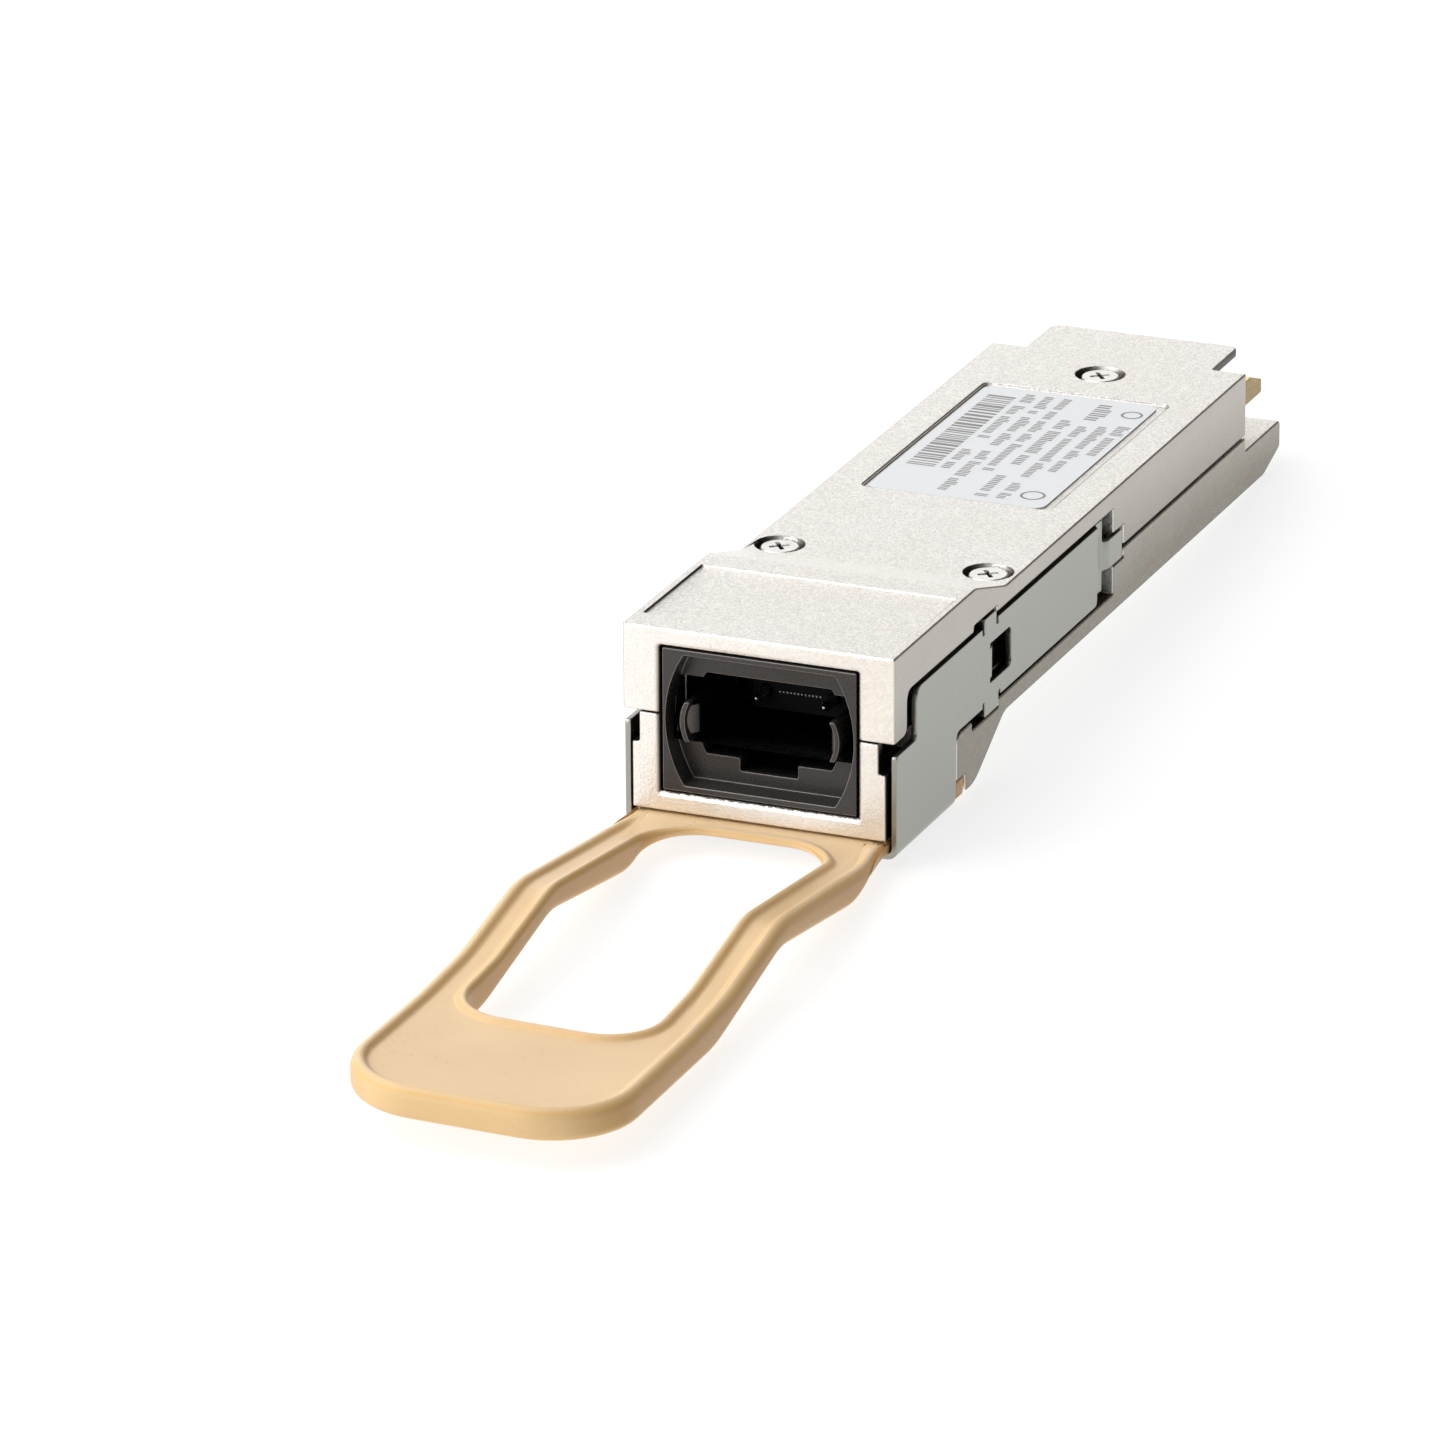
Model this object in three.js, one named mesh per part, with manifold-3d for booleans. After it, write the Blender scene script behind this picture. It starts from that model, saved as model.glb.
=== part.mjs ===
// Optical transceiver module: a two-part die-cast housing with a multi-fibre socket in its nose,
// a card edge at its rear, a sliding latch frame round the nose and a long moulded pull tab.
// Millimetres. X runs across the module, Y runs back from the nose and Z runs up.
// The sub-parts are drawn from the module's datum: X = 0 on the centre plane, Y = 0 on the nose's
// front face and Z = 0 on the underside of the body. The last lines move the origin to the middle
// of the bounding box's bottom.

import * as THREE from 'three';
import { mergeVertices } from 'three/addons/utils/BufferGeometryUtils.js';
import Module from 'manifold-3d';

const wasm = await Module();
wasm.setup();

// ---- Driving dimensions ----

const BODY_HALF = 9.175; // half the body's width
const BODY_TOP = 8.5;
const BODY_REAR = 64.8;
const NOSE_TOP = 10.07;
const NOSE_SLOPE_FRONT = 14.04; // the nose's top slopes down to the body's from here
const NOSE_SLOPE_REAR = 19.4; // to here
const SILL_BOTTOM = -2.15; // lower edge of the nose's front frame
const HEEL_BOTTOM = -3.05; // lowest part of the nose, behind the latch frame
const SEAM = 4.0; // parting plane of the two shells
const SEAM_GAP = 0.1; // each shell stays this far from the parting plane
const ROOF_INSIDE = 7.5;
const FLOOR_INSIDE = 1.2;
const TONGUE_REAR_TOP = 70.1;
const TONGUE_REAR_BOTTOM = 71.9;

const BAY_HALF = 6.67; // opening for the socket in the nose's front
const BAY_BOTTOM = -0.9;
const BAY_TOP = 8.85;
const BAY_STEP = 3.2; // the bay narrows behind the socket's flange
const BAY_REAR = 14.5;
const BAY_CORE_HALF = 6.12;
const BAY_CORE_BOTTOM = -0.3;
const BAY_CORE_TOP = 8.3;
const BAY_CHAMFER = 0.22;

const CHANNEL_WALL = 8.58; // the latch frame's arms slide in channels cut to this half width
const CHANNEL_BOTTOM = 1.25;
const CHANNEL_TOP = 7.2;
const CHANNEL_REAR = 39.1;
const TANG_SLOT_REAR = 41.1;
const TANG_POCKET_WALL = 8.2; // the channel is deeper where the arms' strips jog inward
const TANG_POCKET_FRONT = 34.2;

const ARM_INSIDE = 8.8; // the arms' inner and outer faces
const ARM_OUTSIDE = 9.2;
const SHEET = ARM_OUTSIDE - ARM_INSIDE; // thickness of the latch frame's sheet
const FRAME_FRONT = 0.35;
const FRAME_BOTTOM = -3.45;
const WEB_REAR = 10.55; // the web under the nose ends here
const ARM_REAR = 36;

const SPRING_X = 7.6;
const SPRING_Z = 4.15;
const SPRING_FRONT = 9.1;
const SPRING_REAR = 17.5;
const SPRING_WIRE = 0.13; // wire radius
const SPRING_COIL = 0.75; // coil radius to the middle of the wire
const SPRING_TURNS = 6.5;

const FERRULE_Z = 4.1;
const PIN_X = 2.3;
const PIN_RADIUS = 0.35;
const PIN_HOLE_RADIUS = 0.45;

const CARD_HALF = 8.2;
const CARD_BOTTOM = 5.25;
const CARD_TOP = 6.25;
const CARD_REAR = 70.75;

const SCREWS = {
  cover_screw_front_left: [-7.2, 21.3],
  cover_screw_front_right: [7.2, 21.3],
  cover_screw_rear: [0, 61.1],
};
const SCREW_HEAD_RADIUS = 1.32;
const SCREW_POCKET_RADIUS = 1.65;
const SCREW_POCKET_FLOOR = 7.55;
const SCREW_SHANK_RADIUS = 0.7;
const SCREW_HOLE_RADIUS = 0.85;

const TAB_HALF = 9.1; // half the pull tab's width
const TAB_ROOT_HALF = 8.6; // and at the nose
const TAB_HOLE_HALF = 6.1;
const TAB_TIP = -46.3;
const TAB_TIP_CORNER = 6.6; // reach of the tip's rounded corners along its edges
const TAB_GRIP_TOP = -2.75; // upper edge of the rim round the grip
const TAB_FLOOR_DEPTH = 0.42; // the grip's floor lies this far below the rim
const TAB_RIM = 0.9;
const TAB_LOWEST = -4.8;

const LABEL_SIDES = [-6.38, 6];
const LABEL_ENDS = [34.15, 56.4];
const LABEL_THICKNESS = 0.08;
const LABEL_RECESS_HALF = 6.62;
const LABEL_RECESS_ENDS = [33.9, 56.7];
const LABEL_RECESS_DEPTH = 0.2;
const NOSE_RECESS_HALF = 8.68;
const NOSE_RECESS_ENDS = [2.25, 11.85];
const NOSE_RECESS_DEPTH = 0.16;

const BEYOND = 1; // cutters reach this far past the faces that they cut
const CURVE_STEPS = 6;
const WELD = 1e-4;

// ---- Shapes ----

const AXES = {
  x: new THREE.Matrix4().makeBasis(
    new THREE.Vector3(0, 1, 0),
    new THREE.Vector3(0, 0, 1),
    new THREE.Vector3(1, 0, 0),
  ),
  y: new THREE.Matrix4().makeBasis(
    new THREE.Vector3(1, 0, 0),
    new THREE.Vector3(0, 0, 1),
    new THREE.Vector3(0, -1, 0),
  ),
  z: new THREE.Matrix4(),
};

// Turns a closed geometry into a solid that can be cut and joined.
function solid(geometry) {
  geometry.deleteAttribute('normal');
  geometry.deleteAttribute('uv');
  const merged = mergeVertices(geometry, WELD);
  return new wasm.Manifold(new wasm.Mesh({
    numProp: 3,
    vertProperties: new Float32Array(merged.attributes.position.array),
    triVerts: new Uint32Array(merged.index.array),
  }));
}

// Turns a solid back into a geometry.
function geometryOf(shape) {
  const mesh = shape.getMesh();
  const geometry = new THREE.BufferGeometry();
  geometry.setAttribute('position', new THREE.BufferAttribute(new Float32Array(mesh.vertProperties), 3));
  geometry.setIndex(new THREE.BufferAttribute(new Uint32Array(mesh.triVerts), 1));
  return geometry;
}

// A block between two values on each axis.
function block([x0, x1], [y0, y1], [z0, z1]) {
  const geometry = new THREE.BoxGeometry(x1 - x0, y1 - y0, z1 - z0);
  geometry.translate((x0 + x1) / 2, (y0 + y1) / 2, (z0 + z1) / 2);
  return solid(geometry);
}

// A block of a half width, the same on both sides of the centre plane.
function centredBlock(half, yRange, zRange) {
  return block([-half, half], yRange, zRange);
}

// A cutter for the chamfer round an opening's front: it meets the opening's sides at y1 and stands
// as far outside them at Y = 0.
function chamferBlock(half, y1, [z0, z1]) {
  const geometry = new THREE.BoxGeometry(2 * half, 2 * y1, z1 - z0);
  const places = geometry.attributes.position;
  for (let i = 0; i < places.count; i += 1) {
    if (places.getY(i) < 0) {
      places.setX(i, places.getX(i) + 2 * y1 * Math.sign(places.getX(i)));
      places.setZ(i, places.getZ(i) + 2 * y1 * Math.sign(places.getZ(i)));
    }
  }
  geometry.translate(0, 0, (z0 + z1) / 2);
  return solid(geometry);
}

// An outline from corner points [u, v, radius]; the radius is optional.
function outline(corners) {
  const shape = new THREE.Shape();
  corners.forEach(([u, v, radius = 0], i) => {
    const here = new THREE.Vector2(u, v);
    const before = corners[(i + corners.length - 1) % corners.length];
    const after = corners[(i + 1) % corners.length];
    const towards = ([tu, tv]) => {
      const step = new THREE.Vector2(tu, tv).sub(here);
      return step.setLength(Math.min(radius, step.length() / 2)).add(here);
    };
    const start = towards(before);
    const end = towards(after);
    if (i === 0) shape.moveTo(start.x, start.y);
    else shape.lineTo(start.x, start.y);
    if (radius > 0) shape.quadraticCurveTo(u, v, end.x, end.y);
  });
  shape.closePath();
  return shape;
}

// A rectangle's outline with rounded corners.
function roundedRectangle([u0, u1], [v0, v1], radius) {
  return outline([[u0, v0, radius], [u1, v0, radius], [u1, v1, radius], [u0, v1, radius]]);
}

// An outline with a flat top and bottom, and sides that bulge out as arcs.
function bulgedOutline(flatHalf, bulgeHalf, [bottom, top]) {
  const middle = (bottom + top) / 2;
  const rise = (top - bottom) / 2;
  const sag = bulgeHalf - flatHalf;
  const radius = (rise * rise + sag * sag) / (2 * sag);
  const angle = Math.asin(rise / radius);
  const centre = bulgeHalf - radius;
  const shape = new THREE.Shape();
  shape.moveTo(-flatHalf, bottom);
  shape.lineTo(flatHalf, bottom);
  shape.absarc(centre, middle, radius, -angle, angle, false);
  shape.lineTo(-flatHalf, top);
  shape.absarc(-centre, middle, radius, Math.PI - angle, Math.PI + angle, false);
  return shape;
}

// An outline extruded along one axis. It lies in YZ for x, in XZ for y and in XY for z.
function prism(shape, axis, [from, to]) {
  const geometry = new THREE.ExtrudeGeometry(shape, {
    depth: to - from,
    bevelEnabled: false,
    curveSegments: CURVE_STEPS,
  });
  geometry.applyMatrix4(AXES[axis]);
  const offset = new THREE.Vector3();
  offset[axis] = axis === 'y' ? to : from;
  geometry.translate(offset.x, offset.y, offset.z);
  return solid(geometry);
}

// An upright round bar.
function post(x, y, radius, [z0, z1], sides = 20) {
  const geometry = new THREE.CylinderGeometry(radius, radius, z1 - z0, sides);
  geometry.rotateX(Math.PI / 2);
  geometry.translate(x, y, (z0 + z1) / 2);
  return solid(geometry);
}

// A round bar along Y.
function rod(x, z, radius, [y0, y1], sides = 12) {
  const geometry = new THREE.CylinderGeometry(radius, radius, y1 - y0, sides);
  geometry.translate(x, (y0 + y1) / 2, z);
  return solid(geometry);
}

function join(first, ...others) {
  return others.reduce((sum, other) => sum.add(other), first);
}

function cut(first, ...others) {
  return others.reduce((rest, other) => rest.subtract(other), first);
}

// The same solid on the other side of the centre plane.
function mirrored(shape) {
  const mesh = shape.getMesh();
  const places = Float32Array.from(mesh.vertProperties, (value, i) => (i % 3 === 0 ? -value : value));
  const turned = mesh.triVerts.slice();
  for (let i = 0; i < turned.length; i += 3) {
    [turned[i], turned[i + 1]] = [turned[i + 1], turned[i]];
  }
  return new wasm.Manifold(new wasm.Mesh({ numProp: 3, vertProperties: places, triVerts: turned }));
}

// A solid made for the right-hand side, together with its mirror image.
function both(right) {
  return right.add(mirrored(right));
}

// ---- Materials ----

function finish(color, roughness, metalness) {
  return new THREE.MeshStandardMaterial({ color, roughness, metalness });
}

const MATERIALS = {
  nickel: finish(0xd8d2c8, 0.42, 1),
  stainless: finish(0xb4b3ac, 0.32, 1),
  springSteel: finish(0xa9abad, 0.3, 1),
  tab: finish(0xdcb682, 0.5, 0),
  socket: finish(0x2e2c2b, 0.38, 0),
  ferrule: finish(0x1d1f24, 0.5, 0),
  pin: finish(0xc9cbce, 0.2, 1),
  keeper: finish(0x8f9092, 0.4, 1),
  ribbon: finish(0x7fc4c9, 0.5, 0),
  lens: finish(0xc79a52, 0.15, 0),
  laminate: finish(0x1f5f38, 0.45, 0),
  package: finish(0x1b1b1d, 0.5, 0),
  die: finish(0x6f7682, 0.25, 0.6),
  ceramic: finish(0xb09a7c, 0.5, 0),
  pad: finish(0x8fa8c0, 0.8, 0),
  gasket: finish(0x55565a, 0.75, 0),
  label: finish(0xe1e4e8, 0.45, 0),
};

const moduleGroup = new THREE.Group();

function place(name, shape, material) {
  const geometry = geometryOf(shape);
  geometry.computeVertexNormals();
  const piece = new THREE.Mesh(geometry, material);
  piece.name = name;
  moduleGroup.add(piece);
}

// ---- Housing ----

// Holes for the three cover screws between two heights.
function screwHoles(radius, zRange) {
  const holes = Object.values(SCREWS).map(([x, y]) => post(x, y, radius, zRange));
  return join(...holes);
}

// A pocket in each side wall that holds a return spring, half in each shell.
function springPockets() {
  const deep = block([6.55, BODY_HALF + BEYOND], [8.9, 19.2], [3.05, 5.25]);
  const shallow = block([8.15, BODY_HALF + BEYOND], [19, 21.9], [3.05, 5.25]);
  return both(deep.add(shallow));
}

// The deeper end of each channel, where the strip behind the arm jogs inward.
function tangPockets() {
  return both(block(
    [TANG_POCKET_WALL, BODY_HALF + BEYOND],
    [TANG_POCKET_FRONT, CHANNEL_REAR],
    [CHANNEL_BOTTOM, CHANNEL_TOP],
  ));
}

// Notches above and below each channel for the arms' folded guide ears.
function earNotches() {
  const upper = block([7.8, BODY_HALF + BEYOND], [13.7, 17.9], [6.95, 7.62]);
  const lower = block([7.8, BODY_HALF + BEYOND], [13.45, 18.15], [0.65, 1.35]);
  return both(upper.add(lower));
}

function topShell() {
  const frameBottom = 4.37;
  const seamTop = SEAM + SEAM_GAP;
  const sideView = outline([
    [0, frameBottom, 0.2],
    [0, NOSE_TOP, 0.2],
    [NOSE_SLOPE_FRONT, NOSE_TOP, 0.4],
    [NOSE_SLOPE_REAR, BODY_TOP, 0.4],
    [BODY_REAR, BODY_TOP],
    [BODY_REAR, seamTop],
    [2.4, seamTop],
    [2.4, frameBottom],
  ]);
  const tongue = prism(outline([
    [-6.75, BODY_REAR - BEYOND],
    [6.75, BODY_REAR - BEYOND],
    [6.75, TONGUE_REAR_TOP, 0.8],
    [-6.75, TONGUE_REAR_TOP, 0.8],
  ]), 'z', [7.9, BODY_TOP]);
  const channel = prism(outline([
    [-BEYOND, seamTop - BEYOND],
    [-BEYOND, frameBottom],
    [2.2, frameBottom, 0.7],
    [2.2, CHANNEL_TOP, 0.8],
    [CHANNEL_REAR, CHANNEL_TOP],
    [CHANNEL_REAR, 5.5],
    [TANG_SLOT_REAR, 5.5, 0.2],
    [TANG_SLOT_REAR, seamTop - BEYOND],
  ]), 'x', [CHANNEL_WALL, BODY_HALF + BEYOND]);
  const bay = [seamTop - BEYOND, BAY_TOP];
  const inside = [seamTop - BEYOND, ROOF_INSIDE];
  const noseRecess = centredBlock(
    NOSE_RECESS_HALF,
    NOSE_RECESS_ENDS,
    [NOSE_TOP - NOSE_RECESS_DEPTH, NOSE_TOP + BEYOND],
  );
  const labelRecess = prism(
    roundedRectangle([-LABEL_RECESS_HALF, LABEL_RECESS_HALF], LABEL_RECESS_ENDS, 0.6),
    'z',
    [BODY_TOP - LABEL_RECESS_DEPTH, BODY_TOP + BEYOND],
  );
  const [rearX, rearY] = SCREWS.cover_screw_rear;
  const hollow = cut(
    prism(sideView, 'x', [-BODY_HALF, BODY_HALF]).add(tongue),
    both(channel),
    centredBlock(BAY_HALF, [-BEYOND, BAY_STEP], bay),
    chamferBlock(BAY_HALF, BAY_CHAMFER, [BAY_BOTTOM, BAY_TOP]),
    centredBlock(BAY_CORE_HALF, [BAY_STEP - BEYOND, BAY_REAR], [bay[0], BAY_CORE_TOP]),
    centredBlock(5.7, [BAY_REAR - BEYOND, 24], inside),
    centredBlock(7.9, [23, 43], inside),
    centredBlock(8.45, [42, BODY_REAR + BEYOND], inside),
    noseRecess,
    labelRecess,
    springPockets(),
    tangPockets(),
    earNotches(),
  );
  return cut(
    hollow.add(post(rearX, rearY, 2.1, [CARD_TOP + 0.15, 8])),
    screwHoles(SCREW_POCKET_RADIUS, [SCREW_POCKET_FLOOR, BODY_TOP + BEYOND]),
    screwHoles(SCREW_HOLE_RADIUS, [seamTop - BEYOND, BODY_TOP]),
  );
}

function bottomShell() {
  const seamBottom = SEAM - SEAM_GAP;
  const postTop = 4.3;
  const sideView = outline([
    [0, SILL_BOTTOM, 0.15],
    [8.8, SILL_BOTTOM],
    [8.8, -1.85],
    [12.3, -1.85],
    [12.3, HEEL_BOTTOM, 0.3],
    [13.95, HEEL_BOTTOM, 1.2],
    [19.25, 0, 0.6],
    [68.7, 0, 0.4],
    [TONGUE_REAR_BOTTOM, 1.05, 0.3],
    [TONGUE_REAR_BOTTOM, 2.95, 0.4],
    [BODY_REAR, 2.95],
    [BODY_REAR, seamBottom],
    [2.3, seamBottom],
    [2.3, postTop],
    [0, postTop],
  ]);
  const channel = prism(outline([
    [-BEYOND, -5],
    [10.85, -5],
    [10.85, CHANNEL_BOTTOM, 0.6],
    [CHANNEL_REAR, CHANNEL_BOTTOM],
    [CHANNEL_REAR, 3.2],
    [TANG_SLOT_REAR, 3.2, 0.2],
    [TANG_SLOT_REAR, postTop + BEYOND],
    [-BEYOND, postTop + BEYOND],
  ]), 'x', [CHANNEL_WALL, BODY_HALF + BEYOND]);
  const open = postTop + BEYOND;
  const inside = [FLOOR_INSIDE, open];
  const cornerNotch = join(
    block([8.1, BODY_HALF], [-BEYOND, 5], [2.27, open]),
    block([7.3, BODY_HALF], [0.8, 5], [2.27, open]),
  );
  const hollow = cut(
    prism(sideView, 'x', [-BODY_HALF, BODY_HALF]),
    both(channel),
    both(cornerNotch),
    centredBlock(BAY_HALF, [-BEYOND, BAY_STEP], [BAY_BOTTOM, open]),
    chamferBlock(BAY_HALF, BAY_CHAMFER, [BAY_BOTTOM, BAY_TOP]),
    centredBlock(BAY_CORE_HALF, [BAY_STEP - BEYOND, BAY_REAR], [BAY_CORE_BOTTOM, open]),
    centredBlock(5.7, [BAY_REAR - BEYOND, 24], inside),
    centredBlock(7.9, [23, 43], inside),
    centredBlock(8.45, [42, BODY_REAR], inside),
    centredBlock(6.4, [BODY_REAR - BEYOND, TONGUE_REAR_BOTTOM + BEYOND], inside),
    springPockets(),
    tangPockets(),
    earNotches(),
  );
  const [rearX, rearY] = SCREWS.cover_screw_rear;
  const screwBoss = post(rearX, rearY, 2.1, [0.6, CARD_BOTTOM - 0.2]);
  const chipPedestal = centredBlock(3.6, [31.3, 34.4], [0.6, 3.7]);
  const cardLedge = join(
    block([7.0, 8.2], [26, 41.5], [0.6, seamBottom]),
    block([7.0, 7.7], [26, 41.5], [0.6, CARD_BOTTOM - 0.15]),
  );
  return cut(
    join(hollow, screwBoss, chipPedestal, both(cardLedge)),
    screwHoles(SCREW_HOLE_RADIUS, [1.5, CARD_BOTTOM + BEYOND]),
  );
}

// Countersunk cross recess, head and shank of one cover screw.
function coverScrew(x, y) {
  const headBottom = SCREW_POCKET_FLOOR + 0.04;
  const headTop = BODY_TOP - 0.12;
  const chamfer = 0.12;
  const profile = [
    [0, 2.6],
    [SCREW_SHANK_RADIUS - chamfer, 2.6],
    [SCREW_SHANK_RADIUS, 2.6 + chamfer],
    [SCREW_SHANK_RADIUS, headBottom],
    [SCREW_HEAD_RADIUS, headBottom],
    [SCREW_HEAD_RADIUS, headTop - chamfer],
    [SCREW_HEAD_RADIUS - chamfer, headTop],
    [0, headTop],
  ].map(([radius, height]) => new THREE.Vector2(radius, height));
  const turned = new THREE.LatheGeometry(profile, 20);
  turned.rotateX(Math.PI / 2);
  const slotDepth = [headTop - 0.45, headTop + BEYOND];
  const cross = join(
    block([-0.7, 0.7], [-0.14, 0.14], slotDepth),
    block([-0.14, 0.14], [-0.7, 0.7], slotDepth),
  );
  const geometry = geometryOf(cut(solid(turned), cross));
  geometry.rotateZ(Math.PI / 5);
  geometry.translate(x, y, 0);
  return solid(geometry);
}

function productLabel() {
  const bottom = BODY_TOP - LABEL_RECESS_DEPTH + 0.02;
  const shape = roundedRectangle(LABEL_SIDES, LABEL_ENDS, 0.9);
  return prism(shape, 'z', [bottom, bottom + LABEL_THICKNESS]);
}

// ---- Latch frame and pull tab ----

function latchSlider() {
  const middleStretch = outline([
    [FRAME_FRONT, FRAME_BOTTOM],
    [FRAME_FRONT, 3.5, 0.3],
    [3.75, 3.5, 0.5],
    [3.75, 6.9, 0.9],
    [15.15, 6.9],
    [15.15, 6.45, 0.15],
    [15.55, 6.45, 0.15],
    [15.55, 7.45],
    [17.6, 7.45],
    [17.6, 6.45, 0.15],
    [18, 6.45, 0.15],
    [18, 6.9],
    [ARM_REAR, 6.9],
    [ARM_REAR, 1.5, 0.4],
    [18.4, 1.5],
    [18.4, 1.85, 0.15],
    [18, 1.85, 0.15],
    [18, 0.8],
    [15.6, 0.8],
    [15.6, 1.85, 0.15],
    [15.2, 1.85, 0.15],
    [15.2, 1.5],
    [WEB_REAR, 1.5, 0.7],
    [WEB_REAR, FRAME_BOTTOM],
  ]);
  const bend = 0.8;
  const channelOutside = outline([
    [-ARM_OUTSIDE, NOSE_TOP],
    [-ARM_OUTSIDE, FRAME_BOTTOM, bend],
    [ARM_OUTSIDE, FRAME_BOTTOM, bend],
    [ARM_OUTSIDE, NOSE_TOP],
  ]);
  const channelInside = outline([
    [-ARM_INSIDE, NOSE_TOP + BEYOND],
    [-ARM_INSIDE, FRAME_BOTTOM + SHEET, bend - SHEET],
    [ARM_INSIDE, FRAME_BOTTOM + SHEET, bend - SHEET],
    [ARM_INSIDE, NOSE_TOP + BEYOND],
  ]);
  const whole = [0, ARM_REAR + BEYOND];
  const sheetChannel = cut(
    prism(channelOutside, 'y', whole),
    prism(channelInside, 'y', [-BEYOND, ARM_REAR + 2 * BEYOND]),
  );
  const arms = sheetChannel.intersect(prism(middleStretch, 'x', [-ARM_OUTSIDE, ARM_OUTSIDE]));

  const upperEar = block([7.95, ARM_OUTSIDE], [15.55, 17.6], [7.45 - SHEET, 7.45]);
  const lowerEar = block([7.95, ARM_OUTSIDE], [15.6, 18], [0.8, 0.8 + SHEET]);

  const windowOutline = outline([
    [16.5, 2.85, 0.1],
    [20.3, 2.85, 0.6],
    [20.3, 5.5, 0.6],
    [16.5, 5.5, 0.1],
  ]);
  const window = prism(windowOutline, 'x', [ARM_INSIDE - BEYOND, ARM_OUTSIDE + BEYOND]);

  // The spring seat is cut from the window on three sides and bent inward.
  const seatRadius = 1.6;
  const seatShape = new THREE.Shape();
  const seatX = ARM_OUTSIDE - seatRadius;
  const seatY = 16.5;
  seatShape.moveTo(ARM_INSIDE, seatY - 0.5);
  seatShape.lineTo(ARM_OUTSIDE, seatY - 0.5);
  seatShape.absarc(seatX, seatY, seatRadius, 0, Math.PI / 2, false);
  seatShape.lineTo(6.85, seatY + seatRadius);
  seatShape.lineTo(6.85, seatY + seatRadius - SHEET);
  seatShape.absarc(seatX, seatY, seatRadius - SHEET, Math.PI / 2, 0, true);
  const springSeat = prism(seatShape, 'z', [3.15, 5.15]);

  // Behind the arm a strip jogs inward; its tang comes out again and runs on to the cage's latch.
  const jog = 0.35;
  const stripPlan = outline([
    [ARM_OUTSIDE, ARM_REAR - 0.3],
    [ARM_OUTSIDE, ARM_REAR],
    [ARM_OUTSIDE - jog, ARM_REAR + 0.45, 0.15],
    [ARM_OUTSIDE - jog, ARM_REAR + 1.5, 0.2],
    [ARM_OUTSIDE, ARM_REAR + 2.1, 0.3],
    [ARM_OUTSIDE, 40.6],
    [ARM_INSIDE, 40.6],
    [ARM_INSIDE, ARM_REAR + 2.3, 0.3],
    [ARM_INSIDE - jog, ARM_REAR + 1.7, 0.2],
    [ARM_INSIDE - jog, ARM_REAR + 0.25, 0.15],
    [ARM_INSIDE, ARM_REAR - 0.2],
    [ARM_INSIDE, ARM_REAR - 0.3],
  ]);
  const stripSide = outline([
    [ARM_REAR - BEYOND, 1.95],
    [37.6, 1.95],
    [37.6, 3.35, 0.2],
    [40.7, 3.35, 0.3],
    [40.7, 5.35, 0.3],
    [37.6, 5.35, 0.2],
    [37.6, 6.9],
    [ARM_REAR - BEYOND, 6.9],
  ]);
  const strip = prism(stripPlan, 'z', [0, BODY_TOP])
    .intersect(prism(stripSide, 'x', [ARM_INSIDE - BEYOND, ARM_OUTSIDE + BEYOND]));

  const webHoles = [-5, 0, 5].map((x) => post(x, 5.5, 1.3, [FRAME_BOTTOM - BEYOND, 0]));
  return cut(arms, both(window), ...webHoles)
    .add(both(join(springSeat, upperEar, lowerEar, strip)));
}

// The pull tab seen from the side: it rises straight to a crest, dips again and ends in a flat grip.
function tabSideView() {
  const rootTop = -2.32;
  const rootBottom = -2.95;
  return outline([
    [12.05, rootTop],
    [-1.5, rootTop, 1],
    [-4, -2.2, 1],
    [-17.8, -0.64, 1.3],
    [-26.2, -2.34, 1.5],
    [-32, -2.71, 2.5],
    [TAB_TIP, TAB_GRIP_TOP, 0.35],
    [TAB_TIP, TAB_LOWEST, 0.35],
    [-28.8, TAB_LOWEST, 2],
    [-18.2, -2.33, 1.6],
    [-6.1, -4.02, 1],
    [-2.2, rootBottom, 0.8],
    [12.05, rootBottom],
  ]);
}

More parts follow.
